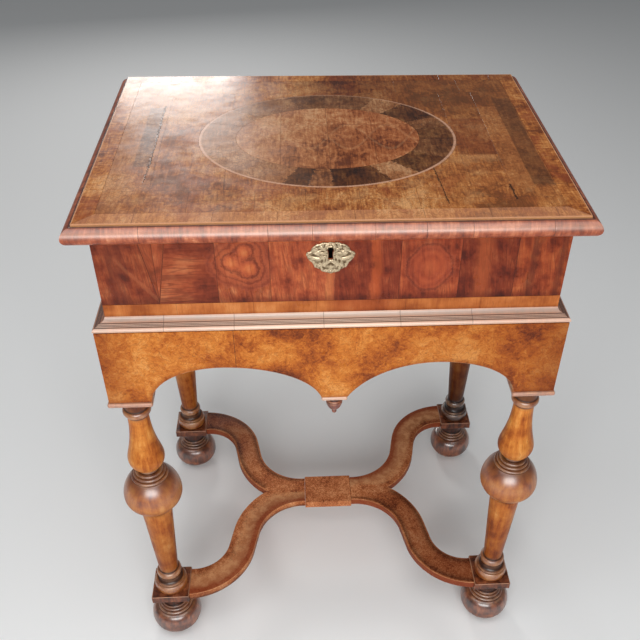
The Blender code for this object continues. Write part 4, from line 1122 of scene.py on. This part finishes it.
# Lid edge: a half-round of cross-grained red walnut in short lengths round the front and sides of the lid,
# mitred at the front corners, with a dark quirk between it and the veneer on top.
lid_round = arc((0.0004, 0.0103), (0.0106, 0.0102), 84, -88, 60)
lid_section = against_wall([(0.0, 0.0203), (0.0006, 0.0200), *lid_round])
lid_half, lid_low = 0.2771, 0.7370
lid_joints = {
    "front": np.array([-0.207, -0.072, -0.025, 0.042, 0.097, 0.147, 0.235]) + lid_half,
    "left": (0.08, 0.17, 0.26, 0.35),
    "right": (0.06, 0.15, 0.25, 0.33),
}
for side, run in three_runs(lid_half, -0.20535, lid_low, 0.4121).items():
    # A pale band where the highlight falls on the half-round, strongest on the front: a painted highlight together with
    # wear.
    most, least, gloss, darker = (0.32, 0.22, 0.70, 0.0) if side == "front" else (0.14, 0.10, 0.30, 0.30)
    shades = np.array([0.15, 0.05, 0.25, 0.10, 0.0, 0.20, 0.08, 0.25]) + darker
    wear_and_sheen = 0.0155, 0.0034, most, least
    grid, marks = run_moulding(lid_section, 90, run, lid_joints[side], shades, (0.0203, 0.0), wear_and_sheen, gloss)
    marks["gloss"] = gloss * np.interp(grid[..., 2] - lid_low, [0.0, 0.009, 0.0125], [0.05, 0.15, 1.0])
    fit(f"lid_round_{side}", [(grid, marks)], "cross_grain_walnut", "lid", f"lid_moulding_{side}", 50.0)

# Lid: a pine board veneered on top. A crossband frames a field of brown walnut leaves with strips of feathered
# walnut at both ends, round an oval whose border is cut from dark and light pieces edged with pale stringing.
dress("lid_board", "pine_boards")
lid_middle = 0.00085


def aged(place, sort):
    """Old veneer: burr swirl, fibre from back to front and slow clouds run together, with dark pips and curling
    lines, and crazed polish."""
    x, y, z = split(place)
    swirl, pip, curl = use(burr, place, 72.0, sort)
    streak, _, line = use(grain, join(x, z, y), 330.0, 44.0, sort)
    cloud = noise(place, 15.0, 3.0)
    tone = cloud * 0.38 + swirl * 0.34 + streak * 0.30
    push = {0: noise(place, 120.0, out="Color"), 1: (0.012, 0.012, 0.0), 2: place}
    bent = {"Vector": shade(place.tree, "VectorMath", push, operation="MULTIPLY_ADD"), "Scale": 170.0}
    net = shade(place.tree, "TexVoronoi", bent, "Distance", feature="DISTANCE_TO_EDGE")
    craze = net.fade(0.070, 0.015) * cloud.fade(0.40, 0.62)
    return tone, pip | (curl | line) * 0.55, craze


def mottled(place, colour, red, tan):
    """Lays slow patches of redder and of paler wood over a colour, as far as the two shares say."""
    slow = noise(place, 21.0, 4.0, 0.62)
    colour = colour.covered(slow.fade(0.50, 0.64, 0.0, red), (146, 68, 36))
    return colour.covered(slow.fade(0.48, 0.36, 0.0, tan), (184, 136, 90))


def crossband_figure(place):
    """Mottled orange veneer with a little grain across the band, mitred at the corners, with a pale rubbed edge."""
    x, y, _ = split(place)
    ax, ay = 0.2768 - abs(x), 0.20590 - abs(y - lid_middle)
    on_side, edge = ax < ay, ax.reckon("MINIMUM", ay)
    run = choose(on_side, x, y)
    streak, _, _ = use(grain, join(run, on_side, edge), 300.0, 40.0, 5.0)
    past, line = leaves(run, (-0.214, -0.131, -0.062, 0.021, 0.096, 0.168, 0.241))
    tone, pip, craze = aged(place, past * 19.0)
    tone = streak * 0.24 + tone * 0.76
    colour = tone.tones(
        {0.43: (112, 54, 20), 0.475: (158, 88, 38), 0.515: (188, 116, 56), 0.555: (208, 140, 78), 0.61: (228, 170, 114)}
    )
    colour = mottled(place, colour, 0.55, 0.12)
    colour = colour.covered((1.0 - on_side) * y.fade(0.10, -0.10) * 0.34, (218, 160, 122))
    colour = colour.stained(y.fade(0.176, 0.186) * x.fade(-0.05, 0.06) * 0.75, (0.52, 0.42, 0.36))
    colour = colour.covered((pip | craze) * 0.40, (92, 46, 24))
    line = line | ax.reckon("COMPARE", ay, 0.0004)
    colour = colour.covered(line * 0.45, (70, 36, 21))
    return colour.covered(edge.fade(0.0014, 0.0009, 0.0, 0.75), (208, 152, 112)), line * -0.8


def box_mask(x, y, low, high, blur=0.0006):
    """One inside an upright rectangle of the lid, given by two corners."""
    across = x.fade(low[0] - blur, low[0] + blur) * x.fade(high[0] + blur, high[0] - blur)
    return across * (y.fade(low[1] - blur, low[1] + blur) * y.fade(high[1] + blur, high[1] - blur))


def field_figure(place):
    """Mottled leaves in three rows with fine joints, paler to the left and darker behind to the right, a feathered
    strip near each end with a paler band beside it, shrinkage cracks and a red repair."""
    x, y, _ = split(place)
    front_row, back_row = -0.135, 0.141
    rows, row_line = leaves(y, (-0.160, front_row, back_row))
    past, line = leaves(x, (-0.205, -0.1227, 0.158, 0.204))
    for inside, joints in (
        (y < front_row, (-0.160, -0.087, -0.031, 0.029, 0.094)),
        (y > back_row, (-0.140, -0.060, 0.020, 0.100, 0.190)),
    ):
        own_past, own_line = leaves(x, joints)
        past, line = choose(inside, past, own_past), choose(inside, line, own_line)
    tone, pip, craze = aged(place, past * 17.0 + rows * 5.0)
    colour = tone.tones(
        {0.43: (86, 38, 14), 0.475: (136, 72, 32), 0.515: (170, 102, 50), 0.555: (194, 128, 70), 0.61: (218, 160, 104)}
    )
    colour = mottled(place, colour, 0.38, 0.38)
    colour = colour.covered(x.fade(0.06, -0.20, 0.0, 0.26), (192, 130, 90))
    behind = (x * 0.35 + y).fade(0.080, 0.150) * x.fade(-0.08, 0.04, 0.0, 0.85)
    colour = colour.stained(behind, (0.44, 0.33, 0.25))
    colour = colour.covered(x.fade(0.05, 0.14, 0.0, 0.22), (184, 118, 62))
    line = line | row_line
    colour = colour.covered(line * 0.38, (62, 32, 20))
    fibre, _, _ = use(grain, join(y, x, x), 210.0, 30.0, 8.0)
    feather = fibre * 0.5 + tone * 0.5
    tan = {0.38: (140, 84, 46), 0.52: (182, 122, 76), 0.66: (206, 152, 106)}
    silvery = {0.38: (48, 24, 11), 0.47: (98, 56, 29), 0.54: (144, 96, 60), 0.66: (198, 154, 116)}
    brown = {0.38: (72, 37, 16), 0.52: (116, 69, 36), 0.66: (156, 104, 58)}
    golden = {0.38: (126, 66, 29), 0.52: (170, 104, 55), 0.66: (200, 142, 88)}
    red = {0.38: (78, 30, 14), 0.52: (122, 58, 28), 0.66: (152, 84, 44)}
    pale = {0.38: (172, 110, 64), 0.60: (208, 150, 98)}
    for low, high, blur, share, stops in (
        ((-0.2558, -0.182), (-0.2310, 0.182), 0.0025, 0.45, tan),
        ((-0.2310, -0.0755), (-0.2125, 0.0950), 0.0012, 0.80, silvery),
        ((0.2298, -0.1330), (0.2537, 0.1180), 0.0007, 0.75, brown),
        ((0.2040, -0.1350), (0.2298, 0.0900), 0.0012, 0.75, golden),
        ((0.1580, -0.0540), (0.2040, 0.0510), 0.0010, 0.60, red),
        ((0.1640, -0.0660), (0.2000, -0.0560), 0.0012, 0.45, pale),
    ):
        colour = colour.covered(box_mask(x, y, low, high, blur) * share, feather.tones(stops))
    colour = colour.covered(pip * 0.45, (72, 36, 21))
    colour = colour.covered(craze * 0.35, (84, 44, 28))
    ragged = (noise(place, 210.0, 3.0, 0.6) - 0.5) * 0.0060 + x
    for start, lean, low, high, half in (
        (0.1205, -0.060, -0.174, -0.079, 0.0008),
        (0.2027, 0.0, -0.166, -0.130, 0.0011),
        (-0.2120, 0.0, -0.080, 0.100, 0.0009),
        (-0.2120, 0.05, -0.115, -0.075, 0.0005),
    ):
        crack = box_mask((y - high) * -lean + ragged, y, (start - half, low), (start + half, high))
        colour = colour.covered(crack * 0.85, (34, 18, 12))
        line = line | crack
    return colour, line * -0.8


def oval_band_figure(place):
    """The border's pieces, dark and light by turns, with ragged joints and edges, and pale stringing round it. They
    are counted by the angle round the oval, in degrees."""
    x, y, _ = split(place)
    u, v = x / 0.1607, (y - lid_middle) / 0.1337
    out = (u * u + v * v).reckon("SQRT")
    ragged = noise(place, 190.0, 3.0, 0.6)
    angle = v.reckon("ARCTAN2", u) * math.degrees(1) + (ragged - 0.5) * 6.0
    front_joints = -160, -140, -122, -111, -100.4, -90, -64, -49, -28, -5
    back_joints = 11.6, 19.5, 26, 49, 65, 90.4, 108, 139.5, 160
    past, line = leaves(angle, front_joints + back_joints, 0.20)
    lightness = (
        0.90, 0.86, 0.78, 0.88, 0.24, 0.80, 0.20, 0.84, 0.04, 0.50,
        0.26, 0.52, 0.62, 0.32, 0.74, 0.54, 0.42, 0.66, 0.80, 0.88,
    )
    depth = leaf_colours(past, [(255 * d, 255 * d, 255 * d) for d in lightness])
    tone, pip, craze = aged(place, past * 41.0)
    light = tone.tones({0.43: (98, 52, 26), 0.48: (140, 84, 46), 0.53: (166, 108, 66), 0.60: (198, 146, 102)})
    dark = tone.tones({0.43: (50, 21, 8), 0.49: (80, 39, 16), 0.55: (108, 62, 28), 0.62: (142, 94, 52)})
    colour = dark.covered(depth.fade(-0.05, 0.75), light)
    smoke = noise(place, 38.0, 4.0, 0.6).fade(0.48, 0.62) * depth.fade(0.40, 0.10, 0.0, 0.60)
    colour = colour.stained(smoke, (0.30, 0.24, 0.22))
    colour = colour.covered(x.fade(0.02, -0.14, 0.0, 0.35), (190, 142, 108))
    colour = colour.covered((pip | craze) * 0.45, (50, 28, 19))
    colour = colour.covered(line * 0.40, (56, 33, 22))
    strung = abs(angle - 95.0).fade(25.0, 75.0, 0.35, 0.92) * ragged.fade(0.30, 0.50, 0.6, 1.0)
    return colour.covered(out.fade(0.9730, 0.9850, 0.0, 0.85) * strung, (216, 166, 136)), line * -0.8


def oval_centre_figure(place):
    """Warm brown leaves matched about a middle joint, with a faint paler interlaced line."""
    x, y, _ = split(place)
    past, line = leaves(x, (-0.059, 0.0, 0.0565))
    rows, row_line = leaves(y, (0.036,))
    tone, pip, craze = aged(place, past * 13.0 + rows)
    colour = tone.tones(
        {0.43: (104, 52, 26), 0.475: (146, 84, 46), 0.515: (172, 106, 62), 0.555: (192, 130, 84), 0.61: (214, 160, 114)}
    )
    colour = colour.stained(x.fade(-0.02, 0.05) * 0.70, (0.82, 0.62, 0.50))
    colour = colour.covered(x.fade(0.02, -0.11, 0.0, 0.30), (204, 156, 122))
    colour = colour.covered((pip | craze) * 0.35, (80, 42, 26))
    strap = abs(abs(y) - abs((x * 62.0).reckon("SINE") * 0.034))
    colour = colour.covered(strap.fade(0.0050, 0.0010, 0.0, 0.11), (222, 176, 128))
    line = line | row_line
    return colour.covered(line * 0.42, (70, 38, 24)), line * -0.8


for node, title, figure in (
    ("lid_crossband", "crossband_walnut", crossband_figure),
    ("lid_field", "lid_field_walnut", field_figure),
    ("lid_oval_band", "oval_band_walnut", oval_band_figure),
    ("lid_oval_centre", "oval_centre_walnut", oval_centre_figure),
):
    waxed(title, figure, 0.17, 0.31, 0.12, 0.00036, 0.18)
    dress(node, title)

# Stage: a plain pale floor, a window behind and to the left, a broad soft panel overhead and a smaller one in
# front, and the camera where the photograph was taken from, a little above the lid and looking down.
reach = 6.0
floor = bpy.data.meshes.new("pale_floor")
floor.from_pydata([(-reach, -reach, 0), (reach, -reach, 0), (reach, reach, 0), (-reach, reach, 0)], [], [[0, 1, 2, 3]])
floor_paint = bpy.data.materials.new("pale_floor")
floor_paint.use_nodes = True
floor_look = {"Base Color": (0.89, 0.90, 0.90, 1), "Roughness": 0.9}
settle(floor_paint.node_tree.nodes["Principled BSDF"].inputs, floor_look)
floor.materials.append(floor_paint)
put("pale_floor", floor)


def aim(made, right, up, back, at):
    """Turns an object by its three directions and stands it at a point."""
    made.matrix_world = Matrix([*zip(right, up, back, at), (0, 0, 0, 1)])


def soft_light(name, at, towards, size, power, warmth=(1.0, 1.0, 1.0)):
    """A lit rectangle that faces a point."""
    lamp = bpy.data.lights.new(name, "AREA")
    lamp.shape = "RECTANGLE"
    lamp.size, lamp.size_y = size
    lamp.energy = power
    lamp.color = warmth
    back = np.array(at) - np.array(towards)
    back /= np.linalg.norm(back)
    right = np.cross([0, 0, 1.0], back)
    right /= np.linalg.norm(right)
    aim(put(name, lamp), right, np.cross(back, right), back, at)


soft_light("window_light", (-0.56, 2.60, 1.47), (-0.10, 0.10, 0.76), (0.56, 0.36), 13.0, (1.0, 0.98, 0.96))
soft_light("front_light", (-0.25, -0.60, 2.55), (0.0, 0.0, 0.55), (2.6, 1.8), 30.0)
soft_light("front_core", (-0.10, -1.75, 1.16), (0.0, 0.0, 0.50), (1.45, 0.70), 24.0)
world = bpy.data.worlds.new("studio")
world.use_nodes = True
settle(world.node_tree.nodes["Background"].inputs, {"Color": (0.80, 0.82, 0.84, 1), "Strength": 0.18})
bpy.context.scene.world = world

picture = 640
yaw, pitch, roll = np.radians([-4.0347, 39.3606, 1.0999])
turn = np.array([[math.cos(yaw), -math.sin(yaw), 0], [math.sin(yaw), math.cos(yaw), 0], [0, 0, 1]])
ahead = turn @ [0, math.cos(pitch), -math.sin(pitch)]
across = turn @ [1, 0, 0]
upward = np.cross(across, ahead)
right = math.cos(roll) * across + math.sin(roll) * upward
up = -math.sin(roll) * across + math.cos(roll) * upward
lens = bpy.data.cameras.new("camera")
lens.sensor_width = 36.0
lens.lens = 812.0246 * lens.sensor_width / picture
lens.shift_x, lens.shift_y = -25.9715 / picture, 32.1603 / picture
lens.clip_start = 0.02
camera = put("camera", lens)
aim(camera, right, up, -ahead, (-0.0397, -0.9563, 1.1967))
bpy.context.scene.camera = camera
bpy.context.scene.view_settings.view_transform = "Standard"
